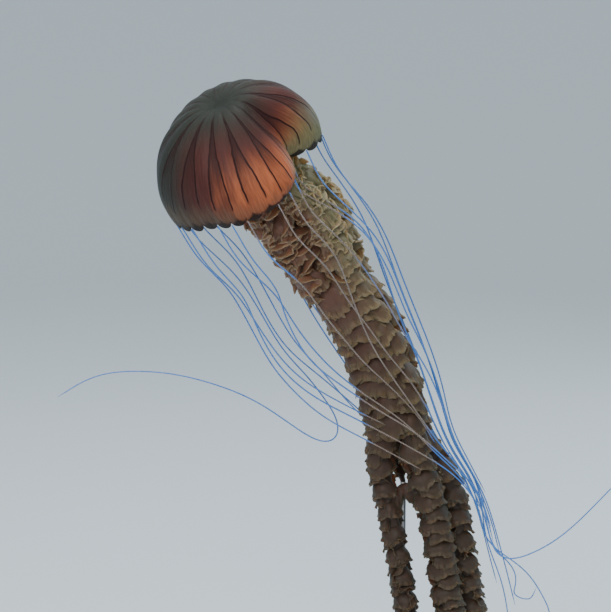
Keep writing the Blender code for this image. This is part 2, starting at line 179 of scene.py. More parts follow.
# The sleeve turns with the trail's direction over this distance each way, and a tentacle takes
# its own place in it over the length after that, or over less the nearer to the arms it starts,
# between these two shares of the sleeve.
SLEEVE_EASE = 0.06
SETTLE_LENGTH = 0.22
SETTLE_SHARES = (0.42, 0.90)
# The left-hand ones billow out less far than the sleeve by up to twice this share.
SLACK = 0.10
SLACK_WAVE = 4.2
# Neighbours keep apart in layers, each this share further out than the last.
LAYER = 0.045
LAYERS = 5
# Tentacles behind the arms gather less than those before them, and some gather sooner, by this distance.
GATHER_BEHIND = 0.5
GATHER_SOONER = 0.09
GATHER_WAVE = 3.3
# Each tentacle sways round the sleeve: angle, waves along the trail and shift from one to the next.
SWAY = (0.05, 13, 2.9)
# Past this angle, in degrees, a tentacle behind the arms goes round by the left instead.
BACK_OF_SLEEVE = 170
# A tentacle first falls straight from the rim, as the trail does at this distance but a little
# steeper, and eases into the sleeve over this length.
FALL_AS_AT = 0.30
FALL_STEEPER = 0.38
FALL_LENGTH = 0.18
# Tentacles that leave the bunch, by cleft: past this distance they follow their own points.
STRAYS = {
    29: (
        0.58,
        (
            (0.170, -0.008, 0.236), (0.194, -0.010, 0.229), (0.253, -0.012, 0.259),
            (0.322, -0.026, 0.335),
        ),
    ),
    30: (
        0.58,
        (
            (0.162, 0.020, 0.246), (0.209, 0.010, 0.216), (0.239, 0.004, 0.171),
            (0.247, 0.006, 0.140),
        ),
    ),
    1: (
        0.58,
        (
            (0.164, 0.028, 0.244), (0.182, 0.028, 0.201), (0.193, 0.028, 0.152),
            (0.195, 0.028, 0.114),
        ),
    ),
    3: (
        0.58,
        (
            (0.166, 0.050, 0.262), (0.180, 0.054, 0.216), (0.202, 0.052, 0.212),
            (0.209, 0.046, 0.192), (0.199, 0.044, 0.168), (0.222, 0.040, 0.162),
            (0.231, 0.034, 0.180),
        ),
    ),
    15: (
        0.38,
        (
            (-0.036, 0.084, 0.408), (-0.022, 0.098, 0.376), (-0.032, 0.106, 0.352),
            (-0.062, 0.108, 0.362), (-0.142, 0.108, 0.416), (-0.234, 0.102, 0.448),
            (-0.312, 0.097, 0.454), (-0.352, 0.094, 0.445), (-0.394, 0.090, 0.421),
        ),
    ),
}
# Half width of the whole bundle of arms, by distance along the trail.
ARM_BUNDLE = ((0.0, 0.030), (0.12, 0.048), (0.25, 0.046), (0.45, 0.044), (0.60, 0.040), (0.84, 0.030))
# Painted light: the side of the bell that faces this way is coloured as if lit through the jelly.
PAINTED_LIGHT_SIDE = tuple(Vector((0.60, -0.60, -0.14)).normalized())
# The end of the bell that is yellower than the rest.
STRAW_SIDE = (1.0, 0.0, 0.0)


def smooth(x):
    """0 below 0, 1 above 1, and an even ease between; takes numbers or arrays."""
    x = np.clip(x, 0.0, 1.0)
    eased = x * x * (3 - 2 * x)
    return eased if np.ndim(eased) else float(eased)


def spaced(start, end, steps):
    """Plain numbers from start to end in equal steps."""
    return [start + (end - start) * i / steps for i in range(steps + 1)]


def read(table, x, column=1):
    """The value at x of a column of a table whose rows start with x."""
    value = np.interp(x, [row[0] for row in table], [row[column] for row in table])
    return value if np.ndim(value) else float(value)


def distances(points):
    """How far along its own line each point lies."""
    return np.concatenate([[0], np.cumsum([(b - a).length for a, b in zip(points, points[1:])])])


def relaxed(points, reach, step):
    """A route of even steps with its small bends eased out over a length, its two ends kept."""
    route = np.array(points)
    half = round(reach / step)
    weights = np.hanning(2 * half + 3)[1:-1]
    padded = np.pad(route, ((half, half), (0, 0)), mode="edge")
    kernel = weights / weights.sum()
    eased = np.stack([np.convolve(padded[:, k], kernel, "valid") for k in range(3)], axis=-1)
    index = np.arange(len(route))
    hold = smooth(index * step / (2 * reach)) * smooth((len(route) - 1 - index) * step / (2 * reach))
    return [Vector(p) for p in route + hold[:, None] * (eased - route)]


def place_on(points, run, s):
    """The place at distance s on a line whose points lie at the distances in run."""
    return Vector([np.interp(s, run, [q[k] for q in points]) for k in range(3)])


def curve_through(points, step, crowding=1.0):
    """Points about `step` apart, or closer at the start, on a smooth curve through the given ones."""
    p = [Vector(q) for q in points]
    p = [2 * p[0] - p[1], *p, 2 * p[-1] - p[-2]]
    fine = []
    for a, b, c, d in zip(p, p[1:], p[2:], p[3:]):
        slope = c - a
        bend = 2 * a - 5 * b + 4 * c - d
        twist = 3 * b - a - 3 * c + d
        fine += [b + 0.5 * (slope * t + bend * t**2 + twist * t**3) for t in spaced(0, 1, 12)[:-1]]
    fine.append(p[-2])
    run = distances(fine)
    stations = [run[-1] * t**crowding for t in spaced(0, 1, max(2, round(run[-1] / step)))]
    return [place_on(fine, run, s) for s in stations]


def bell_matrix():
    """The bell's own place and tilt."""
    return Matrix.Translation(BELL_CENTRE) @ BELL_TILT.to_matrix().to_4x4()


def fold_at(azimuth, reach):
    """(share the radius shrinks by, how far the wall lifts); reach is 0 at the crown and 1 at the rim."""
    draw, lift = 0.0, 0.0
    for centre, width, depth, rise, sink in FOLDS:
        away = (np.degrees(azimuth) - centre + 180) % 360 - 180
        shape = np.exp(-((np.abs(away) / width) ** 1.6))
        draw = draw + depth * shape * (0.12 + 0.88 * reach) * smooth(reach * 4)
        dip = smooth(reach * 3) * np.sin(math.pi * np.minimum(1.0, reach))
        lift = lift + rise * shape * reach**2 - sink * shape * dip
    return draw, lift


def bell_point(azimuth, polar, inward=0.0):
    """Places on the umbrella's outer face, as arrays; polar is in degrees, 0 at the crown."""
    turn = np.radians(polar)
    draw, lift = fold_at(azimuth, polar / LAPPET_ANGLE)
    r = BELL_RADIUS * np.sin(turn) ** FULLNESS
    z = BELL_RISE * np.cos(turn) - DIMPLE_DEPTH * np.exp(-((r / DIMPLE_RADIUS) ** 2)) + lift
    r, z = r - inward * np.sin(turn), z - inward * np.cos(turn)
    r = r * (1 - draw)
    return np.stack([r * np.cos(azimuth), r * np.sin(azimuth), z], axis=-1)


def ceiling_height():
    """The lowest place of the subumbrella's ceiling round the top of the mouth tube."""
    azimuths = np.array(spaced(0, 2 * math.pi, LAPPETS))
    return float(bell_point(azimuths, MANUBRIUM_TOP_ANGLE, CROWN_WALL)[:, 2].min())


def placed(matrix, points):
    """An array of points moved by a matrix."""
    m = np.array(matrix)
    return points @ m[:3, :3].T + m[:3, 3]


class Trail:
    """The trailing line by distance along it, with a frame: `side` points right and `back` away."""

    def __init__(self):
        root = bell_matrix() @ Vector((0, 0, ROOT_HEIGHT))
        mouth = bell_matrix() @ Vector((0, 0, MOUTH_HEIGHT))
        self.points = curve_through([root, mouth, *TRAIL], TRAIL_STEP)
        self.run = distances(self.points)
        self.length = self.run[-1]
        self.columns = [[q[k] for q in self.points] for k in range(3)]

    def at(self, s):
        return Vector([np.interp(s, self.run, column) for column in self.columns])

    def frame(self, s, reach=0.012):
        along = (self.at(s + reach) - self.at(s - reach)).normalized()
        back = Vector((0, 1, 0))
        back = (back - back.dot(along) * along).normalized()
        return along, along.cross(back), back


def parted(s):
    """0 where the arms lie together, 1 once they have come apart."""
    return smooth((s - ARM_PARTING[0]) / (ARM_PARTING[1] - ARM_PARTING[0]))


def arm_centre(trail, arm, s):
    """The middle of a mouth arm at a distance along the trail: bundled first, then parted."""
    place, offset, _tiers, _share = ARMS[arm]
    _along, side, back = trail.frame(s)
    angle = math.radians(place) + ARM_TWIST * s / trail.length
    bundled = (math.cos(angle) * side + math.sin(angle) * back) * read(ARM_SPREAD, s)
    return trail.at(s) + bundled.lerp(Vector((*offset, 0)), parted(s))


class ArmLine:
    """One mouth arm by distance along it: its middle, three directions, girth, and the trail beside it."""

    def __init__(self, trail, arm, step):
        place, _offset, tiers, share = ARMS[arm]
        self.phase = math.radians(place)
        self.length = tiers * TIER
        self.trail_length = trail.length
        self.s = np.array(spaced(0.0, self.length, round(self.length / step)))
        rows = []
        for s in self.s:
            here = arm_centre(trail, arm, s)
            own = (arm_centre(trail, arm, s + 0.01) - arm_centre(trail, arm, s - 0.01)).normalized()
            along = trail.frame(s)[0].lerp(own, smooth(s / SQUARE_TOP)).normalized()
            outward = here - trail.at(s)
            outward = (outward - outward.dot(along) * along).normalized()
            rows.append([here, along, outward, along.cross(outward), trail.at(s), trail.frame(s)[1]])
        rows = np.array(rows).transpose(1, 0, 2)
        self.middle, self.along, self.outward, self.across, self.trail, self.side = rows
        girth = read(ARM_GIRTH, self.s) * (1 + (share - 1) * parted(self.s))
        tip = smooth((self.length - self.s) / ARM_TIP_LENGTH)
        self.girth = girth * (ARM_TIP_SHARE + (1 - ARM_TIP_SHARE) * tip)

    def there(self, rows, s):
        """One of the arrays of places or directions, at other distances."""
        return np.stack([np.interp(s, self.s, rows[:, k]) for k in range(3)], axis=-1)

    def girth_at(self, s):
        return np.interp(s, self.s, self.girth)

    def around(self, s, angle, radius):
        """Places about the middle, from arrays of distance along, angle from outward and radius."""
        spoke = np.cos(angle)[..., None] * self.there(self.outward, s)
        spoke = spoke + np.sin(angle)[..., None] * self.there(self.across, s)
        beyond = (s - np.clip(s, 0, self.length))[..., None] * self.there(self.along, s)
        return self.there(self.middle, s) + radius[..., None] * spoke + beyond

    def notes(self, points, s, hem):
        """What the finish reads: nearness to the hem, to the right-hand side where sunlight is painted, and
        to the tip.
        """
        out = points - self.there(self.trail, s)
        sideways = np.einsum("ijk,ijk->ij", out, self.there(self.side, s))
        painted_sunlit = np.clip(0.5 + sideways / PAINTED_SUNLIT_WIDTH, 0, 1)
        return {"hem": hem, "painted_sunlit": painted_sunlit, "far": s / self.trail_length}


def clefts():
    """The clefts that hold a tentacle: every fourth holds a sense organ instead."""
    return [k for k in range(LAPPETS) if k % 4]


def tentacle_reach(cleft):
    """How far along the trail a tentacle comes: longer and shorter ones alternate round the rim."""
    azimuth = 2 * math.pi * cleft / LAPPETS
    leftness = 0.5 - 0.5 * math.cos(azimuth)
    waves = sum(size * math.sin(turn * cleft + shift) for size, turn, shift in REACH_WAVES)
    return REACH - REACH_LESS_LEFT * leftness + waves


def fall_direction(trail):
    return (trail.frame(FALL_AS_AT)[0] + Vector((0, 0, -FALL_STEEPER))).normalized()


def seat(trail, rim, cleft):
    """Where a tentacle's root lies: as deep in its cleft as the gap to the rim allows."""
    azimuth = 2 * math.pi * cleft / LAPPETS
    inner = bell_matrix() @ Vector(bell_point(azimuth, CLEFT_ANGLE, RIM_WALL / 2))
    falling = fall_direction(trail)
    side = falling.orthogonal().normalized()
    up = falling.cross(side)
    girth = TENTACLE_RADII[0] * SEAT_GIRTH
    spokes = [girth * (math.cos(a) * side + math.sin(a) * up) for a in spaced(0, 2 * math.pi, SEAT_SPOKES)]
    for out in spaced(0, SEAT_REACH, SEAT_STEPS):
        stretch = [inner + (out + more) * falling for more in spaced(0, SEAT_LENGTH, SEAT_RINGS)]
        if min(rim.find_nearest(middle + spoke)[3] for middle in stretch for spoke in spokes) >= GAP:
            break
    return stretch[0]


def sleeve(s):
    """The sleeve round the arms: its middle to the right and its half widths across and in depth."""
    return [read(SLEEVE, s, column) for column in (1, 2, 3)]


def tentacle_guides(trail, rim, cleft):
    """Points that a tentacle passes: out of its cleft, then along the sleeve round the arms."""
    outer = seat(trail, rim, cleft)
    root = bell_matrix() @ Vector((0, 0, ROOT_HEIGHT))
    begin = (outer - root).dot(trail.frame(0.03)[0])
    _along, side, back = trail.frame(begin, SLEEVE_EASE)
    start = outer - trail.at(begin)
    middle, half_width, half_depth = sleeve(begin)
    across, away = (start.dot(side) - middle) / half_width, start.dot(back) / half_depth
    place = math.atan2(away, across)
    if place > math.radians(BACK_OF_SLEEVE):
        place -= 2 * math.pi
    first_share = math.hypot(across, away)
    own_share = 1 - SLACK * (0.5 - 0.5 * math.cos(place)) * (1 + math.sin(SLACK_WAVE * cleft))
    own_share += LAYER * (2 * cleft % LAYERS - 1)
    sooner = GATHER_SOONER * (0.5 + 0.5 * math.sin(GATHER_WAVE * cleft))
    near, far = SETTLE_SHARES
    settle = SETTLE_LENGTH * smooth((first_share - near) / (far - near))
    sway, waves, shift = SWAY

    def beside(s):
        middle, half_width, half_depth = sleeve(s)
        gather = read(SLEEVE, s + sooner, 4)
        _along, side, back = trail.frame(s, SLEEVE_EASE)
        angle = place * (1 - gather * (1 if place < 0 else GATHER_BEHIND))
        angle += sway * (math.sin(waves * s + shift * cleft) - math.sin(waves * begin + shift * cleft))
        share = first_share + (own_share - first_share) * smooth((s - begin) / settle)
        across = middle + half_width * share * math.cos(angle)
        return trail.at(s) + across * side + half_depth * share * math.sin(angle) * back

    own = STRAYS.get(cleft)
    last = own[0] if own else tentacle_reach(cleft)
    falling = fall_direction(trail)
    guides = []
    for s in spaced(begin, last, round((last - begin) / GUIDE_STEP)):
        fallen = outer + (s - begin) * falling
        guides.append(fallen.lerp(beside(s), smooth((s - begin) / FALL_LENGTH)))
    return guides + [Vector(q) for q in own[1]] if own else guides


# ---------------------------------------------------------------- shaping helpers

def let_go():
    """Leaves edit mode and deselects everything, so that an operator meets only its own piece."""
    if bpy.context.mode != "OBJECT":
        bpy.ops.object.mode_set(mode="OBJECT")
    bpy.ops.object.select_all(action="DESELECT")


def take_up(piece):
    """Makes one object the selected and active one."""
    let_go()
    piece.select_set(True)
    bpy.context.view_layer.objects.active = piece


def primitive(name, kind, **settings):
    """A new mesh primitive with its name."""
    let_go()
    getattr(bpy.ops.mesh, f"primitive_{kind}_add")(**settings)
    piece = bpy.context.object
    piece.name = piece.data.name = name
    return piece


def apply_modifier(piece, name, kind, **settings):
    """Adds a modifier and applies it at once."""
    take_up(piece)
    made = piece.modifiers.new(name, kind)
    for key, value in settings.items():
        setattr(made, key, value)
    bpy.ops.object.modifier_apply(modifier=name)


def give_skin(sheet, thickness):
    """Turns a bare sheet into a closed skin, half to each side."""
    apply_modifier(sheet, "skin", "SOLIDIFY", thickness=thickness, offset=0)
    return sheet


def open_up(piece, action="SELECT"):
    """Takes one piece into edit mode, with all of it selected or, by the action, none."""
    take_up(piece)
    bpy.ops.object.mode_set(mode="EDIT")
    bpy.ops.mesh.select_all(action=action)


def coordinates(mesh):
    """The mesh's vertex coordinates as an array of rows."""
    flat = np.empty(len(mesh.vertices) * 3)
    mesh.vertices.foreach_get("co", flat)
    return flat.reshape(-1, 3)


def move_to(mesh, points):
    """Puts the mesh's vertices at an array of places."""
    mesh.vertices.foreach_set("co", np.asarray(points, dtype=np.float32).ravel())
    mesh.update()


def note(mesh, name, values):
    """Keeps a number per vertex for the finish to read."""
    layer = mesh.attributes.get(name) or mesh.attributes.new(name, "FLOAT", "POINT")
    layer.data.foreach_set("value", np.asarray(values, dtype=np.float32).ravel())


def grid_steps(mesh, columns, rows):
    """Whole-number column and row of each vertex of a grid primitive of size 2."""
    flat = coordinates(mesh)
    return (
        np.rint((flat[:, 0] + 1) / 2 * columns).astype(int),
        np.rint((flat[:, 1] + 1) / 2 * rows).astype(int),
    )


def ruled_grid(name, columns, rows, points, notes):
    """A grid primitive laid over an array of points [column, row], with its notes kept per vertex."""
    piece = primitive(name, "grid", x_subdivisions=columns, y_subdivisions=rows, size=2)
    i, j = grid_steps(piece.data, columns, rows)
    move_to(piece.data, points[i, j])
    for key, values in notes.items():
        note(piece.data, key, np.broadcast_to(values, points.shape[:2])[i, j])
    return piece


def close_round(piece, reach):
    """Welds a grid that was rolled into a tube along its seam and fills its two ends."""
    open_up(piece)
    bpy.ops.mesh.remove_doubles(threshold=reach)
    bpy.ops.mesh.select_all(action="DESELECT")
    bpy.ops.mesh.select_non_manifold()
    bpy.ops.mesh.edge_face_add()
    bpy.ops.mesh.select_all(action="SELECT")
    bpy.ops.mesh.normals_make_consistent(inside=False)
    bpy.ops.object.mode_set(mode="OBJECT")


def join(name, pieces):
    """Joins pieces into the first one."""
    take_up(pieces[0])
    for piece in pieces[1:]:
        piece.select_set(True)
    bpy.ops.object.join()
    joined = bpy.context.object
    joined.name = joined.data.name = name
    return joined


def finish_piece(piece, finish, nodes):
    """Smooth shading, its finish, the body it rides on and the CAD nodes it stands for."""
    piece.data.materials.clear()
    piece.data.materials.append(finish)
    piece.data.shade_smooth()
    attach(piece, "root")
    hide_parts(*nodes)


def nodes_named(start):
    """The CAD nodes whose names start so."""
    return sorted(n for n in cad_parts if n.startswith(start))


# ---------------------------------------------------------------- finishes

def linear(red, green, blue):
    """A colour from its 0 to 255 screen values."""
    return tuple(
        c / 255 / 12.92 if c <= 10 else ((c / 255 + 0.055) / 1.055) ** 2.4 for c in (red, green, blue)
    )


class Field:
    """A number or colour that varies over a surface; arithmetic on it adds Math nodes."""

    def __init__(self, finish, socket):
        self.finish = finish
        self.socket = socket

    def math(self, operation, *values):
        return self.finish.node("ShaderNodeMath", {"operation": operation}, dict(enumerate(values)))

    def __add__(self, other):
        return self.math("ADD", self, other)

    __radd__ = __add__

    def __sub__(self, other):
        return self.math("SUBTRACT", self, other)

    def __rsub__(self, other):
        return self.math("SUBTRACT", other, self)

    def __mul__(self, other):
        return self.math("MULTIPLY", self, other)

    __rmul__ = __mul__

    def __truediv__(self, other):
        return self.math("DIVIDE", self, other)

    def __abs__(self):
        return self.math("ABSOLUTE", self)

    def sine(self):
        return self.math("SINE", self)

    def cosine(self):
        return self.math("COSINE", self)

    def fraction(self):
        return self.math("FRACT", self)

    def larger(self, other):
        return self.math("MAXIMUM", self, other)

    def smaller(self, other):
        return self.math("MINIMUM", self, other)

    def ease(self, low, high):
        """0 at low, 1 at high, eased between; high may be below low."""
        return self.finish.node(
            "ShaderNodeMapRange",
            {"interpolation_type": "SMOOTHSTEP"},
            {0: self, 1: low, 2: high, 3: 0.0, 4: 1.0},
        )


class Finish:
    """A material being made round its Principled shader."""

    def __init__(self, name, **constants):
        self.material = bpy.data.materials.new(name)
        self.material.use_nodes = True
        self.tree = self.material.node_tree
        self.shader = self.tree.nodes["Principled BSDF"]
        for key, value in constants.items():
            self.shader.inputs[key.replace("_", " ")].default_value = value

    def node(self, kind, settings, values, output=0):
        """A node with its settings made first, then the values or links of its sockets."""
        made = self.tree.nodes.new(kind)
        for key, value in settings.items():
            setattr(made, key, value)
        for key, value in values.items():
            if isinstance(value, Field):
                self.tree.links.new(value.socket, made.inputs[key])
            else:
                made.inputs[key].default_value = value
        return Field(self, made.outputs[output])

    def place(self):
        return self.node("ShaderNodeTexCoord", {}, {}, "Object")

    def kept(self, name):
        """A number kept on the piece's vertices."""
        return self.node("ShaderNodeAttribute", {"attribute_name": name}, {}, "Fac")

    def noise(self, place, scale, detail=3.0, distortion=0.0):
        return self.node(
            "ShaderNodeTexNoise",
            {},
            {"Vector": place, "Scale": scale, "Detail": detail, "Distortion": distortion},
            "Fac",
        )

    def vector(self, operation, values, output=0):
        """Vector Math, from the values or links of its sockets."""
        return self.node("ShaderNodeVectorMath", {"operation": operation}, values, output)

    def dot(self, vector, other):
        return self.vector("DOT_PRODUCT", {0: vector, 1: other}, "Value")

    def mix(self, factor, first, second):
        """A colour between two, by a factor."""
        first, second = (c if isinstance(c, Field) else (*c[:3], 1.0) for c in (first, second))
        return self.node(
            "ShaderNodeMix", {"data_type": "RGBA"}, {"Factor": factor, 6: first, 7: second}, 2
        )

    def wear(self, socket, field):
        """Feeds one of the shader's sockets."""
        self.tree.links.new(field.socket, self.shader.inputs[socket])

    def relief(self, height, depth):
        """Bumps the surface by a height field."""
        normal = self.node("ShaderNodeBump", {}, {"Strength": 1.0, "Distance": depth, "Height": height})
        self.wear("Normal", normal)


# ---------------------------------------------------------------- bell

BELL_SEGMENTS = 288
SPHERE_RINGS = 160
BELL_KEPT_RINGS = 112
LAPPET_ROUNDNESS = 0.55
FLUTE_DEPTH = 0.0009
GORE_DEPTH = 0.0013
SWELL_DEPTH = 0.0006
# The wall loses this share of its thickness at the very rim.
RIM_THINNING = 0.55
# By reach: where the flutes and the thinning begin, and the share over which they come in.
FLUTES_FROM = (0.60, 0.35)
THINNING_FROM = (0.955, 0.045)
# By reach: the share over which the gores come in, where they end, and over what share they go out.
GORES_IN = 0.35
GORES_END = 0.86
GORES_OUT = 0.30
MARKS = 16
STRIATION_FINENESS = 46.0
STRIATION_LENGTHWISE = 7.0
STREAK_SHARE = 0.28
# Half the opening of a mark's V, as a share of its sector: at the crown, and what it gains lower down.
MARK_OPENING = (0.030, 0.225)
MARK_WANDER = 0.16
MARK_END_WANDER = 0.22
# Colour zones: how squarely a place faces their side, and its reach, each from none to full. The first two
# are painted light coming through the jelly, on the side that faces the light.
BELL_ZONES = {
    "painted_shine_through": ((-0.25, 0.35), (0.10, 0.40)),
    "painted_glow": ((0.34, 0.88), (0.30, 0.62)),
    "straw": ((0.56, 0.90), (0.25, 0.60)),
}
SKIRT_ZONE = (0.72, 0.88)
PIGMENT_ZONE = (0.870, 0.925)
PIGMENT_LOBE = 0.18
# How much higher up, and more deeply lobed, the pigment is on the bright side.
RIM_CURL = 0.035


class BellLook(bpy.types.PropertyGroup):
    """Colours and marks of the bell."""

    # The jelly's own maroon and smoky olive, placed by painted light: maroon on the side that faces the
    # light, smoky olive on the crown and far side.
    red: bpy.props.FloatVectorProperty(
        name="Flesh", description="Maroon jelly", subtype="COLOR", default=linear(73, 38, 34)
    )
    smoke: bpy.props.FloatVectorProperty(
        name="Smoke", description="Smoky olive of the back and flanks", subtype="COLOR",
        default=linear(43, 46, 41),
    )
    straw: bpy.props.FloatVectorProperty(
        name="Straw", description="Yellowish olive of the right end", subtype="COLOR",
        default=linear(110, 112, 76),
    )
    # Painted light: orange where light would come through the jelly.
    painted_glow: bpy.props.FloatVectorProperty(
        name="Glow", description="Orange where light comes through", subtype="COLOR",
        default=linear(170, 95, 61),
    )
    skirt: bpy.props.FloatVectorProperty(
        name="Skirt", description="Plain band above the lappets", subtype="COLOR",
        default=linear(84, 70, 54),
    )
    mark: bpy.props.FloatVectorProperty(
        name="Compass marks", description="Thin radial lines", subtype="COLOR", default=linear(34, 12, 12)
    )
    lappet: bpy.props.FloatVectorProperty(
        name="Lappets", description="Brown edge of the rim", subtype="COLOR", default=linear(24, 15, 10)
    )
    mark_width: bpy.props.FloatProperty(
        name="Mark width", description="Half width of a compass line", subtype="DISTANCE", default=0.0007
    )
    mark_end: bpy.props.FloatProperty(
        name="Mark end", description="How far down the bell the marks reach", subtype="FACTOR", default=0.78
    )


def bell_finish(look):
    """Marks, striations and colour zones laid out on the bell's own azimuth and reach, with painted light
    on the side that faces the light.
    """
    finish = Finish(
        "bell",
        Coat_Weight=0.02,
        Coat_Roughness=0.25,
        Specular_IOR_Level=0.12,
        Subsurface_Weight=0.15,
        Subsurface_Radius=(0.012, 0.006, 0.004),
        Subsurface_Scale=0.5,
        Sheen_Weight=0.02,
        Sheen_Roughness=0.30,
        Sheen_Tint=(*linear(120, 205, 205), 1.0),
    )
    own = finish.node("ShaderNodeUVMap", {"uv_map": "UVMap"}, {})
    azimuth, reach = (finish.node("ShaderNodeSeparateXYZ", {}, {0: own}, axis) for axis in (0, 1))
    turn = azimuth * (2 * math.pi)
    place = finish.place()
    cloudy = finish.noise(place, 16.0, 4.0, 0.6)
    speckle = finish.noise(place, 420.0, 3.0)
    wander = finish.noise(place, 38.0, 2.0)
    round_rim = [turn.cosine() * STRIATION_FINENESS, turn.sine() * STRIATION_FINENESS]
    round_rim.append(reach * STRIATION_LENGTHWISE)
    round_rim = finish.node("ShaderNodeCombineXYZ", {}, dict(enumerate(round_rim)))
    threads = finish.noise(round_rim, 1.0, 2.0).ease(0.36, 0.62)
    streaks = finish.noise(finish.vector("SCALE", {0: round_rim, "Scale": STREAK_SHARE}), 1.0, 2.0)

    sector_width = (reach * 1.85).sine() * (2 * math.pi * BELL_RADIUS / MARKS)
    beside = abs((azimuth * MARKS + (wander - 0.5) * MARK_WANDER + 0.5).fraction() - 0.5)
    opening, widening = MARK_OPENING
    spread = reach.ease(0.10, 0.62) * widening + opening
    end = finish.noise(place, 34.0, 1.0) * MARK_END_WANDER + (look.mark_end - MARK_END_WANDER / 2)
    fading = (end + 0.03 - reach).ease(0.0, 0.05)
    width = (reach.ease(0.10, 0.45) * 0.55 + wander * 0.9) * look.mark_width
    line = (abs(beside - spread) * sector_width / width).ease(2.2, 0.7)
    line = line * reach.ease(0.08, 0.20) * fading * (streaks * 1.3 + 0.45).smaller(1.0)
    wedge = ((spread - beside) * sector_width).ease(-0.0010, 0.0018)
    wedge = wedge * reach.ease(0.05, 0.16) * (reach.ease(0.70, 0.26) * 0.66 + 0.14) * fading

    lobe = abs((azimuth * LAPPETS).fraction() - 0.5)
    skirt = reach.ease(*SKIRT_ZONE)

    outward = finish.vector("SUBTRACT", {0: place, 1: tuple(BELL_CENTRE)})
    outward = finish.vector("NORMALIZE", {0: outward})
    # How squarely a place faces the side where light through the jelly is painted.
    lit = finish.dot(outward, PAINTED_LIGHT_SIDE)
    curl = lit.ease(0.55, 0.90) * RIM_CURL
    pigment = reach + curl + (speckle - 0.5) * 0.05 - lobe * (curl * 2 + PIGMENT_LOBE)
    pigment = pigment.ease(*PIGMENT_ZONE)

    def zone(name, facing):
        by_facing, by_reach = BELL_ZONES[name]
        return facing.ease(*by_facing) * reach.ease(*by_reach)

    # Painted light: the side that faces the light is maroon, as light coming through the jelly; the crown
    # and far side stay smoky olive.
    clouded = lit + (cloudy - 0.5) * 0.5
    painted_lit_side = zone("painted_shine_through", clouded)
    painted_glow = zone("painted_glow", clouded + (streaks - 0.5) * 0.4)
    straw = zone("straw", finish.dot(outward, STRAW_SIDE) + (cloudy - 0.5) * 0.4)

    colour = finish.mix(painted_lit_side, look.smoke, look.red)
    colour = finish.mix(skirt * 0.60, colour, look.skirt)
    # Painted light: the orange glow of light coming through, lower down on the side that faces the light.
    colour = finish.mix(painted_glow * (1 - skirt * 0.35) * 0.9, colour, look.painted_glow)
    colour = finish.mix(straw * 0.8, colour, look.straw)
    colour = finish.mix(threads * reach.ease(0.12, 0.5) * 0.25, colour, look.mark)
    colour = finish.mix(wedge, colour, look.mark)
    colour = finish.mix(line, colour, look.mark)
    colour = finish.mix(pigment * 0.95, colour, look.lappet)
    finish.wear("Base Color", colour)
    finish.wear("Roughness", speckle * 0.2 + 0.38)
    solid = line.larger(pigment).larger(wedge)
    finish.wear("Alpha", (solid * 0.10 + 0.94 - reach.ease(0.84, 0.95) * 0.06).smaller(1.0))
    finish.relief(threads * 0.4 + speckle * 0.3 - line * 0.8 - wedge * 0.6, 0.0006)
    return finish.material


class NETTLE_OT_bell(bpy.types.Operator):
    """Models the bell from a sphere: folds, dimple, flutes, lappets and a wall that thins to the rim."""

    bl_idname = "nettle.bell"
    bl_label = "Bell"

    def execute(self, context):
        whole = {"segments": BELL_SEGMENTS, "ring_count": SPHERE_RINGS, "radius": 1, "calc_uvs": True}
        bell = primitive("bell_skin", "uv_sphere", **whole)
        below = math.cos(math.pi * (BELL_KEPT_RINGS + 0.5) / SPHERE_RINGS)
        open_up(bell, "DESELECT")
        bpy.ops.object.mode_set(mode="OBJECT")
        for vertex in bell.data.vertices:
            vertex.select = vertex.co.z < below
        bpy.ops.object.mode_set(mode="EDIT")
        bpy.ops.mesh.delete(type="VERT")
        bpy.ops.object.mode_set(mode="OBJECT")

        flat = coordinates(bell.data)
        azimuth = np.arctan2(flat[:, 1], flat[:, 0])
        ring = np.rint(np.arccos(np.clip(flat[:, 2], -1, 1)) / math.pi * SPHERE_RINGS)
        reach = ring / BELL_KEPT_RINGS
        round_the_crown(bell.data, azimuth, reach)
        lobe = np.abs(np.sin(LAPPETS / 2 * azimuth))
        limit = CLEFT_ANGLE + (LAPPET_ANGLE - CLEFT_ANGLE) * lobe**LAPPET_ROUNDNESS
        flute = FLUTE_DEPTH * (1 - lobe) ** 2 * smooth((reach - FLUTES_FROM[0]) / FLUTES_FROM[1])
        swell = SWELL_DEPTH * np.sin(3 * azimuth + 1) * smooth(reach * 3)
        gore = GORE_DEPTH * (0.5 + 0.5 * np.cos(MARKS * azimuth))
        gore = gore * smooth(reach / GORES_IN) * smooth((GORES_END - reach) / GORES_OUT)
        own = bell_point(azimuth, limit * reach, flute + swell + gore)
        rim_height = bell_point(0.0, LAPPET_ANGLE)[2]
        down = 1 - np.maximum(0.0, own[:, 2] - rim_height) / BELL_RISE
        wall = CROWN_WALL + (RIM_WALL - CROWN_WALL) * smooth(down)
        wall = wall * (1 - RIM_THINNING * smooth((reach - THINNING_FROM[0]) / THINNING_FROM[1]))
        group = bell.vertex_groups.new(name="wall")
        for index, share in enumerate(wall / CROWN_WALL):
            group.add([index], float(share), "REPLACE")
        move_to(bell.data, placed(bell_matrix(), own))
        apply_modifier(bell, "wall", "SOLIDIFY", thickness=CROWN_WALL, offset=-1, vertex_group="wall")
        finish_piece(bell, bell_finish(context.scene.nettle_bell), ["bell"])
        return {"FINISHED"}


def round_the_crown(mesh, azimuth, reach):
    """Rewrites the sphere's UV map: share of a turn round the crown, and reach from crown to rim."""
    layer = mesh.uv_layers["UVMap"].data
    corners = np.empty(len(mesh.loops), dtype=int)
    mesh.loops.foreach_get("vertex_index", corners)
    flat = np.empty(len(layer) * 2)
    layer.foreach_get("uv", flat)
    turn = flat.reshape(-1, 2)[:, 0]
    own = azimuth[corners] / (2 * math.pi)
    probe = np.flatnonzero((own > 0.1) & (own < 0.4))[0]
    start = turn[probe] - own[probe]
    layer.foreach_set("uv", np.stack([turn - start, reach[corners]], axis=-1).astype(np.float32).ravel())


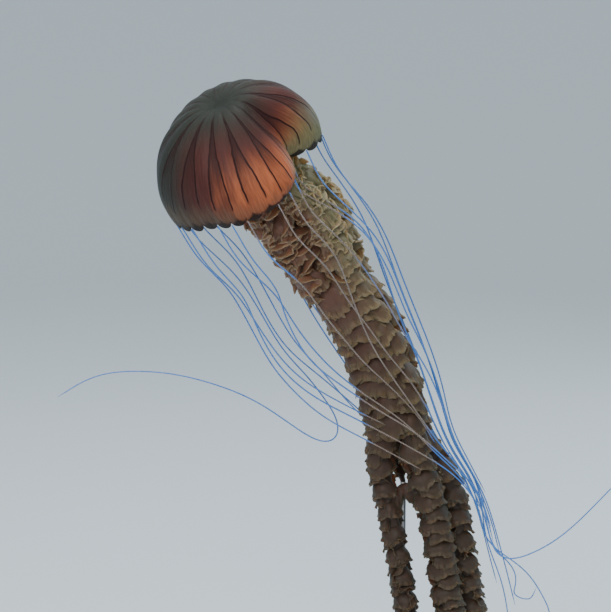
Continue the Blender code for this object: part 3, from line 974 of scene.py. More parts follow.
# ---------------------------------------------------------------- mouth arms

# Width over which the arms turn from their inner colour to the painted sunlight of their right-hand side.
PAINTED_SUNLIT_WIDTH = 0.085
CORE_SIDES = 28
CORE_STEP = 0.003
CORE_SHARE = 0.70
MOUTH_SIDES = 64
MOUTH_RINGS = 30
# By distance along the arm: a tier's length, the size of its crinkles, the share of it that stays
# smooth, how much wider its middle bulges, how far it is turned to one side, in degrees, and how far
# its two sides rise above its middle, as a share of its length.
TIERS = (
    (0.00, 0.030, 0.0012, 0.70, 0.10, 40, 0.30),
    (0.06, 0.018, 0.0026, 0.30, 0.10, 46, 0.30),
    (0.17, 0.018, 0.0026, 0.30, 0.10, 46, 0.30),
    (0.25, 0.024, 0.0018, 0.60, 0.15, 64, 0.30),
    (0.44, 0.024, 0.0016, 0.65, 0.15, 64, 0.30),
    (0.54, 0.018, 0.0014, 0.60, 0.15, 50, 0.30),
    (0.84, 0.014, 0.0010, 0.55, 0.10, 46, 0.30),
)
# Wider tiers that lap over two arms where they lie together, in the same columns.
LAPPED_TIERS = (
    (0.250, 0.031, 0.0026, 0.55, 0.26, 24, 0.10),
    (0.455, 0.029, 0.0022, 0.60, 0.26, 20, 0.10),
)
# A tier's rows and how they crowd towards its hem, its fewest columns and their spacing, and how far
# it reaches round the arm to each side.
SKIRT_ROWS = 10
SKIRT_CROWDING = 1.35
SKIRT_FEWEST = 30
SKIRT_STEP = 0.0011
SKIRT_HALF_SPAN = math.radians(128)
# How near its two sides a tier closes in on the core, as a share of its half width.
SKIRT_CLOSING = 0.28
SKIRT_WALL = 0.0009
SKIRT_THINNEST = 0.0015
# A tier's root as a share of the arm's girth, how fast and how bluntly it swells, and how far it draws in
# again before its hem flares.
SKIRT_ROOT = CORE_SHARE * 0.8
SWELL_SPEED = 1.35
SWELL_POWER = 0.8
SWELL_WAIST = 0.10
HEM_FLARE = 0.46
# How tiers differ down an arm: in turn and in spacing, each by a share and an angle per tier, and the
# shift of their waves.
TIER_TURNS = (0.30, 2.9)
TIER_SPACING = 0.90
TIER_SPACINGS = (0.14, 1.9)
TIER_SHIFT = 1.3
# The waves that crinkle a tier, by what they move: rows of number, height, length and drift.
SKIRT_WAVES = {
    "hem": ((0, 0.12, 0.031, 1.1),),
    "fall": ((1, 0.50, 0.0097, 1.6), (2, 0.28, 0.0041, 2.0)),
    "turn": ((3, 0.40, 0.0064, 2.2),),
    "swell": ((4, 0.06, 0.024, 1.3),),
    "pleat": ((5, 0.65, 0.0090, 2.0), (6, 0.35, 0.0046, 2.4)),
}
RUFFLE_STEP = 0.0008
RUFFLE_ROWS = 8
# A free frill's own length for each length of arm, and the height of its crinkles.
RUFFLE_SLACK = 1.25
RUFFLE_CRINKLE = 0.0024
# Over what lengths it rises from the arm and sinks back, how much it droops for each length that it
# stands off, and how its rise gathers towards the hem.
RUFFLE_ENDS = (0.02, 0.04)
RUFFLE_DROOP = 0.45
RUFFLE_POWER = 0.85
# Its root as a share of the arm's girth, and how far inside the tiers it leaves them.
RUFFLE_ROOT = CORE_SHARE * 0.9
RUFFLE_INSIDE = 0.25
RUFFLE_SHIFT = 3.7
# How far short of the arm's end it stops, and how short it may be.
RUFFLE_STOPS = 0.012
RUFFLE_SHORTEST = 0.10
# The waves that crinkle a free frill, in the same columns.
RUFFLE_WAVES = {
    "drift": ((0, 0.006, 0.041, 1.2),),
    "meander": ((1, 0.55, 0.047, 1.5), (2, 0.20, 0.019, 1.5)),
    "rise": ((3, 0.25, 0.027, 1.4),),
    "hem": ((4, 0.80, 0.0076, 2.3), (0, 0.30, 0.0041, 2.0)),
    "sway": ((5, 0.90, 0.0089, 2.2), (6, 0.45, 0.0049, 2.4)),
    "lean": ((7, 0.50, 0.033, 1.0),),
}
# By arm: how far its free frills stand off, and where the first begins.
RUFFLE_RISES = {"left": 0.0125, "front": 0.0085, "right": 0.0100, "back": 0.0090}
RUFFLE_STARTS = {"left": 0.045, "front": 0.012, "right": 0.012, "back": 0.020}
# Free frills: how much later each starts, where it ends, its bearing in degrees and share of the rise.
RUFFLES = (
    (0.0, 0.24, -78, 1.0),
    (0.012, 0.27, -26, 1.0),
    (0.006, 0.23, 26, 1.0),
    (0.020, 0.28, 78, 1.0),
    (0.20, 0.62, 122, 0.55),
    (0.22, 0.56, -126, 0.55),
    (0.56, 0.96, -84, 0.50),
    (0.60, 0.93, 96, 0.45),
)
# The two arms under the lapped tiers, how much nearer they lie to the first, and their girth and
# breadth as shares of one arm's.
LAPPED = ("left", "front")
LAPPED_NEARER = 0.55
LAPPED_GIRTH = 1.10
LAPPED_BREADTH = 1.30
# The band between two arms: where it leaves one and reaches the other, its steps, its arch, its width,
# how far it bulges and the waves of its edge.
BRIDGE_FROM = ("left", 0.578)
BRIDGE_TO = ("front", 0.560)
BRIDGE_STEPS = 60
BRIDGE_ARCH = 0.014
BRIDGE_WIDTH = 0.025
BRIDGE_BULGE = 0.006
BRIDGE_WAVES = {
    "width": ((2, 0.2, 0.31, 1.0),),
    "hem": ((1, 0.0012, 0.13, 2.0),),
    "bulge": ((4, 0.0022, 0.17, 2.0),),
}
# The join of a rolled tube is welded over this distance.
TUBE_WELD = 0.00002
# The waves of one arm are shifted against the next one's: the first shift and the step.
ARM_SHIFTS = (0.7, 2.3)
# What the finish reads on the mouth tube.
TUBE_NOTES = {"hem": 0.3, "painted_sunlit": 0.4, "far": 0.05}
# Where the arms' finish changes, from none to full: down the trail by share of its length, towards
# the right-hand side, where sunlight is painted on, and towards the hem, where the lower tiers also get
# painted light.
DARKENING = (0.16, 0.52)
TIP_DARKENING = (0.42, 0.75)
TIP_STRENGTH = 0.68
PAINTED_SUNLIT_ZONE = (0.55, 1.05)
HEM_ZONE = (0.76, 1.0)
PAINTED_HEM_LIGHT_ZONE = (0.45, 0.90)
PAINTED_HEM_LIGHT_STRENGTH = 0.24


class ArmLook(bpy.types.PropertyGroup):
    """Colours and folds of the mouth arms."""

    flesh: bpy.props.FloatVectorProperty(
        name="Flesh", description="Pinkish brown near the bell", subtype="COLOR",
        default=linear(122, 84, 68),
    )
    lower: bpy.props.FloatVectorProperty(
        name="Lower flesh", description="Rusty brown further down", subtype="COLOR",
        default=linear(70, 45, 34),
    )
    # Painted sunlight: the right-hand side of the arms is coloured as if lit.
    painted_sunlit: bpy.props.FloatVectorProperty(
        name="Outer frills", description="Yellowish olive on the outer side", subtype="COLOR",
        default=linear(117, 115, 80),
    )
    hem: bpy.props.FloatVectorProperty(
        name="Hem", description="Pale crinkled edge", subtype="COLOR", default=linear(168, 148, 114)
    )
    lower_hem: bpy.props.FloatVectorProperty(
        name="Lower hem", description="Edge further down", subtype="COLOR", default=linear(116, 102, 74)
    )
    tips: bpy.props.FloatVectorProperty(
        name="Tips", description="Dark brown at the arms' ends", subtype="COLOR", default=linear(46, 36, 28)
    )
    hang: bpy.props.FloatProperty(
        name="Hang", description="How far a tier hangs over the next, as a share of its length",
        subtype="FACTOR", default=1.30,
    )
    flare: bpy.props.FloatProperty(
        name="Flare", description="Radius of a tier as a share of the arm's girth",
        subtype="FACTOR", default=1.22,
    )
    crinkle: bpy.props.FloatProperty(
        name="Crinkle", description="Share of the full height of the crinkles",
        subtype="FACTOR", default=1.0,
    )


def ripple(s, period, drift, seed):
    """A wave whose phase wanders, so that no two crinkles match."""
    wander = drift * np.sin(2 * math.pi * s / (period * 4.3) + seed)
    return np.sin(2 * math.pi * s / period + wander + 1.7 * seed)


def ripples(rows, run, seed):
    """The sum of some waves, from rows of each one's number, height, length and drift."""
    return sum(height * ripple(run, length, drift, seed + number) for number, height, length, drift in rows)


def skirt(line, name, start, tier, centre, look, seed):
    """One tier of a frill: it springs from the core, swells like a pillow and hangs to a crinkled hem."""
    length, size, quiet, bulge, sag = tier
    size = size * look.crinkle
    arc = 2 * SKIRT_HALF_SPAN * look.flare * line.girth_at(start)
    columns = max(SKIRT_FEWEST, round(arc / SKIRT_STEP))
    u = np.array(spaced(-1, 1, columns))[:, None]
    v = np.array([1 - (1 - t) ** SKIRT_CROWDING for t in spaced(0, 1, SKIRT_ROWS)])[None, :]
    wave = {part: ripples(rows, u * arc / 2, seed) for part, rows in SKIRT_WAVES.items()}
    loose = smooth((v - quiet) / (1 - quiet))
    closing = smooth((1 - np.abs(u)) / SKIRT_CLOSING)
    s = start + length * (look.hang * (1 + wave["hem"]) * v - sag * u**2 * v)
    s = s + loose * size * wave["fall"]
    angle = centre + u * SKIRT_HALF_SPAN
    angle = angle + loose * size * wave["turn"] / line.girth_at(s)
    swell = np.sin(np.minimum(1.0, v * SWELL_SPEED) * math.pi / 2) ** SWELL_POWER
    swell = swell - SWELL_WAIST * smooth((v - 0.55) / 0.3)
    swell = swell + HEM_FLARE * quiet * smooth((v - 0.70) / 0.30)
    swell = swell * (1 + wave["swell"] + bulge * (1 - u**2) ** 2)
    radius = line.girth_at(s) * (SKIRT_ROOT + (look.flare - SKIRT_ROOT) * swell * closing)
    radius = radius + loose * closing * size * wave["pleat"]
    points = line.around(s, angle, np.maximum(radius, SKIRT_THINNEST))
    sheet = ruled_grid(name, columns, SKIRT_ROWS, points, line.notes(points, s, v + 0 * u))
    return give_skin(sheet, SKIRT_WALL)


def differing(way, count, seed):
    """How much one of a row of like pieces differs, by a share and an angle per piece."""
    share, turn = way
    return share * math.sin(turn * count + seed)


def skirts(line, name, look, seed, tiers=TIERS, start=0.004, end=math.inf):
    """Tiers down a line, turned now to one side and now to the other."""
    made = []
    while True:
        length, size, quiet, bulge, swing, sag = [read(tiers, start, column) for column in range(1, 7)]
        if start + look.hang * length > line.length or start > end:
            break
        count = len(made)
        tier = (length, size, quiet, bulge, sag)
        centre = math.radians(swing) * (1 if count % 2 else -1) + differing(TIER_TURNS, count, seed)
        own, shift = f"{name}_tier_{count}", seed + TIER_SHIFT * count
        made.append(skirt(line, own, start, tier, centre, look, shift))
        start += length * (TIER_SPACING + differing(TIER_SPACINGS, count, seed))
    return made


def ruffle(line, name, start, end, centre, height, look, seed):
    """A free frill that meanders down an arm's face and stands off it, crinkled along its hem."""
    columns = round(RUFFLE_SLACK * (end - start) / RUFFLE_STEP)
    down = (end - start) * np.array(spaced(0, 1, columns))[:, None]
    v = np.array(spaced(0, 1, RUFFLE_ROWS))[None, :]

    def wave(part, run=down * RUFFLE_SLACK):
        return ripples(RUFFLE_WAVES[part], run, seed)

    fade = smooth(down / RUFFLE_ENDS[0]) * smooth((end - start - down) / RUFFLE_ENDS[1])
    loose = smooth((v - 0.2) / 0.8) * fade * (RUFFLE_CRINKLE * look.crinkle)
    rise = height * fade * v**RUFFLE_POWER * (1 + wave("rise"))
    s = start + down + wave("drift", down) + RUFFLE_DROOP * rise + loose * wave("hem")
    girth = line.girth_at(s)
    angle = centre + wave("meander", down) + (loose * wave("sway") + rise * wave("lean")) / girth
    foot = RUFFLE_ROOT + (look.flare - RUFFLE_INSIDE - RUFFLE_ROOT) * smooth(v / 0.3)
    points = line.around(s, angle, girth * foot + rise)
    notes = line.notes(points, s, 0.25 + 0.75 * v + 0 * s)
    return give_skin(ruled_grid(name, columns, RUFFLE_ROWS, points, notes), SKIRT_WALL)


def ruffles(line, name, arm, look, seed):
    """The loose frills that crowd the top of an arm."""
    made = []
    for count, (later, end, bearing, share) in enumerate(RUFFLES):
        start, end = RUFFLE_STARTS[arm] + later, min(end, line.length - RUFFLE_STOPS)
        if start + RUFFLE_SHORTEST > end:
            continue
        rise = share * RUFFLE_RISES[arm]
        own, shift = f"{name}_ruffle_{count}", seed + RUFFLE_SHIFT * count
        made.append(ruffle(line, own, start, end, math.radians(bearing), rise, look, shift))
    return made


def bridge(first, second, name):
    """The band of frill that still joins two arms where they begin to part."""
    begin, end = BRIDGE_FROM[1], BRIDGE_TO[1]
    t = np.array(spaced(0, 1, BRIDGE_STEPS))[:, None]
    v = np.array(spaced(0, 1, SKIRT_ROWS))[None, :]
    wave = {part: ripples(rows, t, 0) for part, rows in BRIDGE_WAVES.items()}
    s = begin + (end - begin) * t
    start, finish = first.there(first.middle, s), second.there(second.middle, s)
    down = 0.5 * (first.there(first.along, s) + second.there(second.along, s))
    drop = BRIDGE_WIDTH * v * (1 + wave["width"]) + v**2 * wave["hem"]
    drop = drop - BRIDGE_ARCH * np.sin(math.pi * t)
    bulge = BRIDGE_BULGE * np.sin(math.pi * v) + v * wave["bulge"]
    towards = np.array([0.0, -1.0, 0.0])
    points = start + t[..., None] * (finish - start) + drop[..., None] * down
    points = points + bulge[..., None] * towards
    sheet = ruled_grid(name, BRIDGE_STEPS, SKIRT_ROWS, points, first.notes(points, s + 0 * v, v + 0 * t))
    return give_skin(sheet, 2 * SKIRT_WALL)


def side_by_side(first, second):
    """A line between two arms that lie together, facing outward from both."""
    pair = copy.copy(first)
    rows = slice(0, min(len(first.s), len(second.s)))
    for name in ("s", "girth", "middle", "along", "trail", "side"):
        nearer, farther = getattr(first, name)[rows], getattr(second, name)[rows]
        setattr(pair, name, LAPPED_NEARER * nearer + (1 - LAPPED_NEARER) * farther)
    gap = second.middle[rows] - first.middle[rows]
    gap = gap / np.linalg.norm(gap, axis=1, keepdims=True)
    pair.outward = np.cross(pair.along, gap)
    pair.across = -LAPPED_BREADTH * gap
    pair.girth = LAPPED_GIRTH * pair.girth
    return pair


def arm_core(line, name, seed):
    """The fleshy middle of an arm that its tiers grow from."""
    turn = np.array(spaced(0, 2 * math.pi, CORE_SIDES))[None, :]
    s = line.s[:, None]
    lump = 1 + 0.14 * np.sin(math.pi * s / TIER + seed) ** 2
    lump = lump + 0.10 * np.sin(3 * turn + 5 * ripple(s, 0.09, 1, seed))
    points = line.around(s + 0 * turn, turn + 0 * s, CORE_SHARE * line.girth[:, None] * lump)
    notes = line.notes(points, s + 0 * turn, 0 * s)
    core = ruled_grid(name, len(line.s) - 1, CORE_SIDES, points, notes)
    close_round(core, TUBE_WELD)
    return core


def arm_finish(look):
    """Wet frilled flesh: mottled, paler at the hems, yellower on the right-hand side as painted sunlight,
    with painted shading on the tiers, and browner lower down.
    """
    finish = Finish(
        "arms",
        Coat_Weight=0.05,
        Coat_Roughness=0.30,
        Specular_IOR_Level=0.22,
        Subsurface_Weight=0.60,
        Subsurface_Radius=(0.010, 0.006, 0.004),
        Subsurface_Scale=0.8,
        Sheen_Weight=0.1,
        Sheen_Tint=(*linear(150, 200, 190), 1.0),
    )
    place = finish.place()
    hem, painted_sunlit, far = (finish.kept(name) for name in ("hem", "painted_sunlit", "far"))
    mottle = finish.noise(place, 55.0, 4.0, 0.8)
    grain = finish.noise(place, 300.0, 3.0)
    wrinkle = finish.noise(place, 150.0, 3.0, 1.2)
    down = (far + mottle * 0.12).ease(*DARKENING)
    colour = finish.mix(down, look.flesh, look.lower)
    # Painted sunlight: the right-hand side turns yellowish olive, less so lower down.
    outer = (painted_sunlit + mottle * 0.3).ease(*PAINTED_SUNLIT_ZONE) * (1 - down * 0.92)
    colour = finish.mix(outer, colour, look.painted_sunlit)
    hollow = finish.mix(0.5, look.lower, (0.0, 0.0, 0.0))
    colour = finish.mix(mottle.ease(0.62, 0.30) * 0.35, colour, hollow)
    # Painted light: the lower tiers turn greenish grey towards their hem, lighter where they come out from
    # under the tier above.
    colour = finish.mix(hem.ease(*PAINTED_HEM_LIGHT_ZONE) * down * PAINTED_HEM_LIGHT_STRENGTH, colour, look.lower_hem)
    # The hems are pale, and paler on the sunlit side, which is painted light.
    edge = (hem + grain * 0.16 - 0.08).ease(*HEM_ZONE)
    pale = painted_sunlit.ease(0.35, 0.75) * 0.30 + 0.40
    colour = finish.mix(edge * pale, colour, finish.mix(down, look.hem, look.lower_hem))
    # Painted shade: each tier darkens towards its root, under the tier above.
    colour = finish.mix(hem.ease(0.35, 0.05) * 0.15, colour, look.lower)
    colour = finish.mix((far + mottle * 0.08).ease(*TIP_DARKENING) * TIP_STRENGTH, colour, look.tips)
    finish.wear("Base Color", colour)
    finish.wear("Roughness", grain * 0.25 + down * 0.15 + 0.32)
    finish.wear("Alpha", 1 - hem.ease(0.72, 1.0) * 0.15)
    finish.relief(grain * 0.3 + mottle * 0.2 + wrinkle * 0.5, 0.0009)
    return finish.material


class NETTLE_OT_arms(bpy.types.Operator):
    """Models the four mouth arms, each a fleshy core with frilled curtains, and the mouth tube above."""

    bl_idname = "nettle.arms"
    bl_label = "Mouth arms"

    def execute(self, context):
        look = context.scene.nettle_arms
        finish = arm_finish(look)
        trail = Trail()
        lines = {}
        for number, arm in enumerate(ARMS):
            line = ArmLine(trail, arm, CORE_STEP)
            name = f"mouth_arm_{arm}"
            seed = ARM_SHIFTS[1] * number + ARM_SHIFTS[0]
            lines[arm] = line
            flesh = join(name, [arm_core(line, name, seed), *skirts(line, name, look, seed)])
            finish_piece(flesh, finish, nodes_named(f"arm_{arm}_"))
            frills = ruffles(line, name, arm, look, seed)
            if arm == BRIDGE_TO[0]:
                frills.append(bridge(lines[BRIDGE_FROM[0]], line, "bridge"))
            if arm == LAPPED[1]:
                pair = side_by_side(lines[LAPPED[0]], line)
                start, end = LAPPED_TIERS[0][0], LAPPED_TIERS[-1][0]
                frills += skirts(pair, "lapped", look, seed, LAPPED_TIERS, start, end)
            finish_piece(join(f"{name}_frills", frills), finish, nodes_named(f"arm_{arm}_"))
        self.mouth_tube(trail, finish)
        return {"FINISHED"}

    def mouth_tube(self, trail, finish):
        """A short four-lobed tube between the bell's ceiling and the arms' tops."""
        along, side, back = (np.array(v) for v in trail.frame(0.0))
        ceiling = np.array(bell_matrix() @ Vector((0, 0, ceiling_height() - GAP)))
        bottom = np.array(trail.at(0)) - GAP * along
        share = np.array(spaced(0, 1, MOUTH_RINGS))[:, None]
        turn = np.array(spaced(0, 2 * math.pi, MOUTH_SIDES))[None, :]
        lobes = 1 + 0.04 * np.cos(4 * turn) + 0.02 * np.sin(9 * turn + 6 * share)
        radius = read(MANUBRIUM, share) * lobes
        spoke = np.cos(turn)[..., None] * side + np.sin(turn)[..., None] * back
        points = ceiling + share[..., None] * (bottom - ceiling) + radius[..., None] * spoke
        tube = ruled_grid("mouth_tube", MOUTH_RINGS, MOUTH_SIDES, points, TUBE_NOTES)
        close_round(tube, TUBE_WELD)
        finish_piece(tube, finish, ["manubrium"])


# ---------------------------------------------------------------- tentacles

THREAD_STEP = 0.0035
THREAD_SIDES = 10
THREAD_WELD = 0.00001
RELAX_LENGTH = 0.05
# A thread draws in to this share of its girth over its last steps.
THREAD_TIP = 0.3
THREAD_TIP_STEPS = 4
RING_SPACING = 0.0022
RING_TINT = (0.75, 0.88, 0.95)
# How far inside the bundle's edge, and how far down it, a thread is fully tan: painted light, the arms'
# colour showing through it.
TAN_INSIDE = 0.012
TAN_BELOW = (0.02, 0.06)


class TentacleLook(bpy.types.PropertyGroup):
    """Colours and size of the stinging tentacles."""

    blue: bpy.props.FloatVectorProperty(
        name="Blue", description="Clear of the arms", subtype="COLOR", default=linear(0, 95, 176)
    )
    tan: bpy.props.FloatVectorProperty(
        name="Tan", description="Close over the arms", subtype="COLOR", default=linear(114, 95, 83)
    # Painted light: tan stands for the arms showing through the clear thread.
    )
    root_girth: bpy.props.FloatProperty(
        name="Root girth", description="Share of the solid's radius at the root",
        subtype="FACTOR", default=0.52,
    )
    tip_girth: bpy.props.FloatProperty(
        name="Tip girth", description="Share of the solid's radius at the tip",
        subtype="FACTOR", default=1.25,
    )


def tentacle_finish(look):
    """Clear wet thread, blue against the water, with fine stinging rings; tan over the arms and a faint
    glow are painted light.
    """
    finish = Finish(
        "tentacles",
        Roughness=0.22,
        Coat_Weight=0.4,
        Coat_Roughness=0.1,
        Subsurface_Weight=0.25,
        Subsurface_Radius=(0.002, 0.003, 0.004),
        Emission_Strength=0.12,
    )
    painted_shine_through = finish.kept("painted_shine_through")
    run = finish.kept("run")
    grain = finish.noise(finish.place(), 240.0, 2.0)
    rings = (run * (2 * math.pi / RING_SPACING) + grain * 4.0).sine() * 0.5 + 0.5
    # Painted light: tan where the arms would show through the thread.
    colour = finish.mix(painted_shine_through, look.blue, look.tan)
    colour = finish.mix(rings * 0.10, colour, RING_TINT)
    finish.wear("Base Color", colour)
    # Painted light: the threads glow faintly in their own colour, though nothing in them gives light.
    finish.wear("Emission Color", colour)
    finish.wear("Alpha", grain * 0.2 + 0.78 - painted_shine_through * 0.20)
    finish.relief(rings, 0.0001)
    return finish.material


class NETTLE_OT_tentacles(bpy.types.Operator):
    """Draws each tentacle as one smooth tapering thread along its whole route."""

    bl_idname = "nettle.tentacles"
    bl_label = "Tentacles"

    def execute(self, context):
        look = context.scene.nettle_tentacles
        finish = tentacle_finish(look)
        trail = Trail()
        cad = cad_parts["bell"].data
        rim = BVHTree.FromPolygons([v.co for v in cad.vertices], [f.vertices for f in cad.polygons])
        for number, cleft in enumerate(clefts(), start=1):
            route = curve_through(tentacle_guides(trail, rim, cleft), THREAD_STEP)
            route = relaxed(route, RELAX_LENGTH, THREAD_STEP)
            name = f"tentacle_{number:02d}"
            thread = self.thread(f"{name}_thread", route, look, trail)
            finish_piece(thread, finish, nodes_named(name))
        return {"FINISHED"}

    def thread(self, name, route, look, trail):
        """A round tube that tapers along the route, turned as little as can be."""
        steps = len(route) - 1
        stretches = zip([route[0], *route], [*route[1:], route[-1]])
        directions = [(after - before).normalized() for before, after in stretches]
        side = directions[0].orthogonal().normalized()
        rows = []
        for point, direction, share in zip(route, directions, spaced(0, 1, steps)):
            side = (side - side.dot(direction) * direction).normalized()
            up = direction.cross(side)
            radius = TENTACLE_RADII[0] + (TENTACLE_RADII[1] - TENTACLE_RADII[0]) * share
            radius *= look.root_girth + (look.tip_girth - look.root_girth) * share
            radius *= THREAD_TIP + (1 - THREAD_TIP) * min(1.0, (1 - share) * steps / THREAD_TIP_STEPS)
            rows.append([
                point + radius * (math.cos(a) * side + math.sin(a) * up)
                for a in spaced(0, 2 * math.pi, THREAD_SIDES)
            ])
        near = [over_arms(trail, point) for point in route]
        notes = {"painted_shine_through": np.array(near)[:, None], "run": distances(route)[:, None]}
        made = ruled_grid(name, steps, THREAD_SIDES, np.array(rows), notes)
        close_round(made, THREAD_WELD)
        return made


def over_arms(trail, point):
    """1 where a thread lies close before or behind the bundle of arms, 0 clear of it."""
    nearest = min(range(len(trail.points)), key=lambda i: (trail.points[i] - point).length_squared)
    s = trail.run[nearest]
    across = (point - trail.points[nearest]).dot(trail.frame(s)[1])
    below, length = TAN_BELOW
    inside = read(ARM_BUNDLE, s) - abs(across)
    return float(smooth(inside / TAN_INSIDE) * smooth((s - below) / length))


# ---------------------------------------------------------------- stand

BASE_SIDES = 192
ROD_SIDES = 48
# Bevels: width and segments. They take the edges sharper than the first angle, and edges sharper than
# the second stay sharp in the shading.
BASE_BEVEL = (0.003, 4)
ROD_BEVEL = (0.0004, 2)
BEVEL_ANGLE = math.radians(60)
SHARP_ANGLE = math.radians(40)
# The turned line in the base's top: how far in from its edge, half width and depth.
LINE_INSET = 0.012
LINE_HALF_WIDTH = 0.0012
LINE_DEPTH = 0.0010
GRAIN_COLOUR = (0.060, 0.050, 0.042)
GRAIN_STRETCH = (3.0, 26.0, 26.0)
DRAWN_COLOUR = (0.42, 0.42, 0.44)
DRAWN_STRETCH = (600.0, 600.0, 12.0)


class StandLook(bpy.types.PropertyGroup):
    """Colours of the display stand."""

    lacquer: bpy.props.FloatVectorProperty(
        name="Base", description="Black stained wood", subtype="COLOR", default=(0.022, 0.020, 0.019)
    )
    steel: bpy.props.FloatVectorProperty(
        name="Rod", description="Satin steel", subtype="COLOR", default=(0.60, 0.60, 0.62)
    )


def wood_finish(look):
    """Black-stained wood under satin lacquer, with its grain just showing."""
    finish = Finish("stand_base", Coat_Weight=0.15, Coat_Roughness=0.3)
    place = finish.place()
    stretched = finish.node("ShaderNodeMapping", {}, {"Vector": place, "Scale": GRAIN_STRETCH})
    grain = finish.noise(stretched, 6.0, 5.0, 1.2)
    pores = finish.noise(stretched, 40.0, 2.0)
    colour = finish.mix(grain.ease(0.40, 0.70) * 0.6, look.lacquer, GRAIN_COLOUR)
    finish.wear("Base Color", colour)
    finish.wear("Roughness", grain * 0.2 + 0.34)
    finish.relief(pores * 0.5 + grain * 0.5, 0.0003)
    return finish.material


def steel_finish(look):
    """Satin steel, drawn along the rod."""
    finish = Finish("stand_rod", Metallic=1.0)
    drawn = finish.node("ShaderNodeMapping", {}, {"Vector": finish.place(), "Scale": DRAWN_STRETCH})
    streaks = finish.noise(drawn, 1.0, 3.0)
    finish.wear("Base Color", finish.mix(streaks * 0.3, look.steel, DRAWN_COLOUR))
    finish.wear("Roughness", streaks * 0.15 + 0.28)
    return finish.material


class NETTLE_OT_stand(bpy.types.Operator):
    """Models the round base with a softened edge and a turned line, and the rod under the back arm."""

    bl_idname = "nettle.stand"
    bl_label = "Stand"

    def execute(self, context):
        look = context.scene.nettle_stand
        base, top = self.disc("stand_base_disc", "stand_base", BASE_SIDES)
        self.turned_line(base, top)
        self.soften(base, BASE_BEVEL, wood_finish(look), "stand_base")
        rod, _top = self.disc("stand_rod_pole", "stand_rod", ROD_SIDES)
        self.soften(rod, ROD_BEVEL, steel_finish(look), "stand_rod")
        return {"FINISHED"}

    def disc(self, name, node, sides):
        """A cylinder that fills a CAD node's box, and the height of its top."""
        low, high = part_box(node)
        middle = tuple((a + b) / 2 for a, b in zip(low, high))
        size = {"radius": (high[0] - low[0]) / 2, "depth": high[2] - low[2]}
        piece = primitive(name, "cylinder", vertices=sides, location=middle, **size)
        bpy.ops.object.transform_apply(location=True, rotation=True, scale=True)
        return piece, high[2]

    def soften(self, piece, bevel, finish, node):
        """Bevels the edges and finishes the piece in its CAD node's place."""
        width, segments = bevel
        limit = {"limit_method": "ANGLE", "angle_limit": BEVEL_ANGLE}
        apply_modifier(piece, "edge", "BEVEL", width=width, segments=segments, **limit)
        finish_piece(piece, finish, [node])
        piece.data.set_sharp_from_angle(angle=SHARP_ANGLE)

    def turned_line(self, base, top):
        """Insets the top face three times and sinks the middle ring, as a fine line round the base."""
        take_up(base)
        for face in base.data.polygons:
            face.select = face.normal.z > 0.9
        bpy.ops.object.mode_set(mode="EDIT")
        bpy.ops.mesh.select_mode(type="FACE")
        for inset in (LINE_INSET, LINE_HALF_WIDTH, LINE_HALF_WIDTH):
            bpy.ops.mesh.inset(thickness=inset)
        bpy.ops.object.mode_set(mode="OBJECT")
        edge = max(v.co.x for v in base.data.vertices)
        line = edge - (LINE_INSET + LINE_HALF_WIDTH)
        for vertex in base.data.vertices:
            away = abs(math.hypot(vertex.co.x, vertex.co.y) - line)
            if vertex.co.z > top - LINE_DEPTH / 10 and away < LINE_HALF_WIDTH / 3:
                vertex.co.z -= LINE_DEPTH


# ---------------------------------------------------------------- stage

# Each light: its place, size, power and colour.
LIGHTS = {
    "key": ((-0.9, -2.7, 1.9), 2.4, 85, (1.0, 0.97, 0.93)),
    "top": ((0.1, 0.0, 3.0), 1.8, 50, (0.97, 0.99, 1.0)),
    "rim": ((1.9, 1.7, 1.7), 0.9, 19, (0.72, 0.92, 1.0)),
}
ROOM_COLOUR = (0.86, 0.92, 0.97, 1)
ROOM_LIGHT = 0.80
SENSOR_WIDTH = 36
# The floor: the radii of its flat rings, and the radius, angle and steps of the bend up to its wall.
FLOOR_RADII = (0.0, 2.0, 4.5)
FLOOR_SIDES = 128
BEND_RADIUS = 3
BEND_ANGLE = math.radians(85)
BEND_STEPS = 24
FLOOR_WELD = 0.0001


class StageLook(bpy.types.PropertyGroup):
    """The floor and the camera's aim."""

    floor: bpy.props.FloatVectorProperty(
        name="Floor", description="Pale floor that curves up all round", subtype="COLOR",
        default=linear(206, 216, 222),
    )
    aim: bpy.props.FloatVectorProperty(
        name="Aim", description="Point the camera looks at", subtype="XYZ", unit="LENGTH",
        default=(-0.069, 0.0, 0.554),
    )
    distance: bpy.props.FloatProperty(
        name="Distance", description="Camera to aim", subtype="DISTANCE", default=2.2
    )
    pitch: bpy.props.FloatProperty(
        name="Pitch", description="How far the camera looks down", subtype="ANGLE", default=math.radians(8)
    )
    lens: bpy.props.FloatProperty(
        name="Lens", description="Focal length in mm", unit="CAMERA", default=103.7
    )


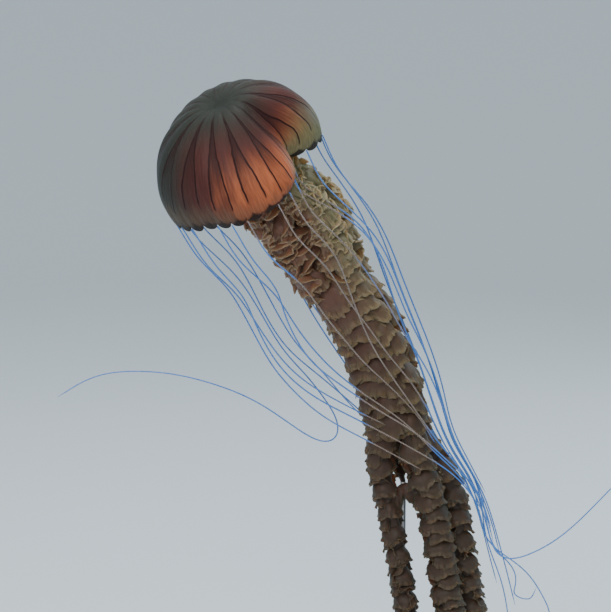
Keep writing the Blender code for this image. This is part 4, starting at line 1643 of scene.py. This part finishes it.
class NETTLE_OT_stage(bpy.types.Operator):
    """Sets the floor, soft lights and camera."""

    bl_idname = "nettle.stage"
    bl_label = "Stage"

    def execute(self, context):
        look = context.scene.nettle_stage
        self.floor(look)
        for name, settings in LIGHTS.items():
            self.light(name, *settings, look.aim)
        world = bpy.data.worlds.new("room")
        context.scene.world = world
        world.use_nodes = True
        background = world.node_tree.nodes["Background"].inputs
        background["Color"].default_value = ROOM_COLOUR
        background["Strength"].default_value = ROOM_LIGHT
        camera = bpy.data.objects.new("camera", bpy.data.cameras.new("camera"))
        context.scene.collection.objects.link(camera)
        camera.data.lens = look.lens
        camera.data.sensor_width = SENSOR_WIDTH
        camera.data.sensor_fit = "HORIZONTAL"
        aim = Vector(look.aim)
        camera.location = aim + look.distance * Vector((0, -math.cos(look.pitch), math.sin(look.pitch)))
        camera.rotation_euler = Euler((math.radians(90) - look.pitch, 0, 0))
        context.scene.camera = camera
        return {"FINISHED"}

    def floor(self, look):
        """A round floor whose edge sweeps up into a wall."""
        bend = np.array(spaced(0, BEND_ANGLE, BEND_STEPS)[1:])
        radius = np.concatenate([FLOOR_RADII, FLOOR_RADII[-1] + BEND_RADIUS * np.sin(bend)])[:, None]
        level = np.zeros(len(FLOOR_RADII))
        height = np.concatenate([level, BEND_RADIUS - BEND_RADIUS * np.cos(bend)])[:, None]
        turn = np.array(spaced(0, 2 * math.pi, FLOOR_SIDES))[None, :]
        points = np.stack([radius * np.cos(turn), radius * np.sin(turn), height + 0 * turn], axis=-1)
        floor = ruled_grid("floor", len(radius) - 1, FLOOR_SIDES, points, {})
        open_up(floor)
        bpy.ops.mesh.remove_doubles(threshold=FLOOR_WELD)
        bpy.ops.object.mode_set(mode="OBJECT")
        floor.data.shade_smooth()
        floor.data.materials.append(Finish("floor", Base_Color=(*look.floor, 1.0), Roughness=0.9).material)

    def light(self, name, place, size, power, colour, aim):
        """A soft square light that faces the aim."""
        lamp = bpy.data.objects.new(name, bpy.data.lights.new(name, "AREA"))
        bpy.context.scene.collection.objects.link(lamp)
        lamp.data.size = size
        lamp.data.energy = power
        lamp.data.color = colour
        lamp.location = place
        lamp.rotation_euler = (Vector(aim) - lamp.location).to_track_quat("-Z", "Y").to_euler()


# ---------------------------------------------------------------- add-on

OPERATORS = (NETTLE_OT_bell, NETTLE_OT_arms, NETTLE_OT_tentacles, NETTLE_OT_stand, NETTLE_OT_stage)
LOOKS = {
    "nettle_bell": BellLook,
    "nettle_arms": ArmLook,
    "nettle_tentacles": TentacleLook,
    "nettle_stand": StandLook,
    "nettle_stage": StageLook,
}


class NETTLE_PT_panel(bpy.types.Panel):
    """Lists the sea nettle's pieces and their looks."""

    bl_idname = "NETTLE_PT_panel"
    bl_label = "Sea Nettle"
    bl_space_type = "VIEW_3D"
    bl_region_type = "UI"
    bl_category = "Sea Nettle"

    def draw(self, context):
        for operator, (name, group) in zip(OPERATORS, LOOKS.items()):
            box = self.layout.box()
            box.operator(operator.bl_idname)
            for key in group.__annotations__:
                box.prop(getattr(context.scene, name), key)


def register():
    for group in LOOKS.values():
        bpy.utils.register_class(group)
    for name, group in LOOKS.items():
        setattr(bpy.types.Scene, name, bpy.props.PointerProperty(type=group))
    for operator in OPERATORS:
        bpy.utils.register_class(operator)
    bpy.utils.register_class(NETTLE_PT_panel)


def unregister():
    bpy.utils.unregister_class(NETTLE_PT_panel)
    for operator in reversed(OPERATORS):
        bpy.utils.unregister_class(operator)
    for name in LOOKS:
        delattr(bpy.types.Scene, name)
    for group in LOOKS.values():
        bpy.utils.unregister_class(group)


def main():
    register()
    bpy.ops.nettle.bell()
    bpy.ops.nettle.arms()
    bpy.ops.nettle.tentacles()
    bpy.ops.nettle.stand()
    bpy.ops.nettle.stage()


if __name__ == "__main__":
    main()
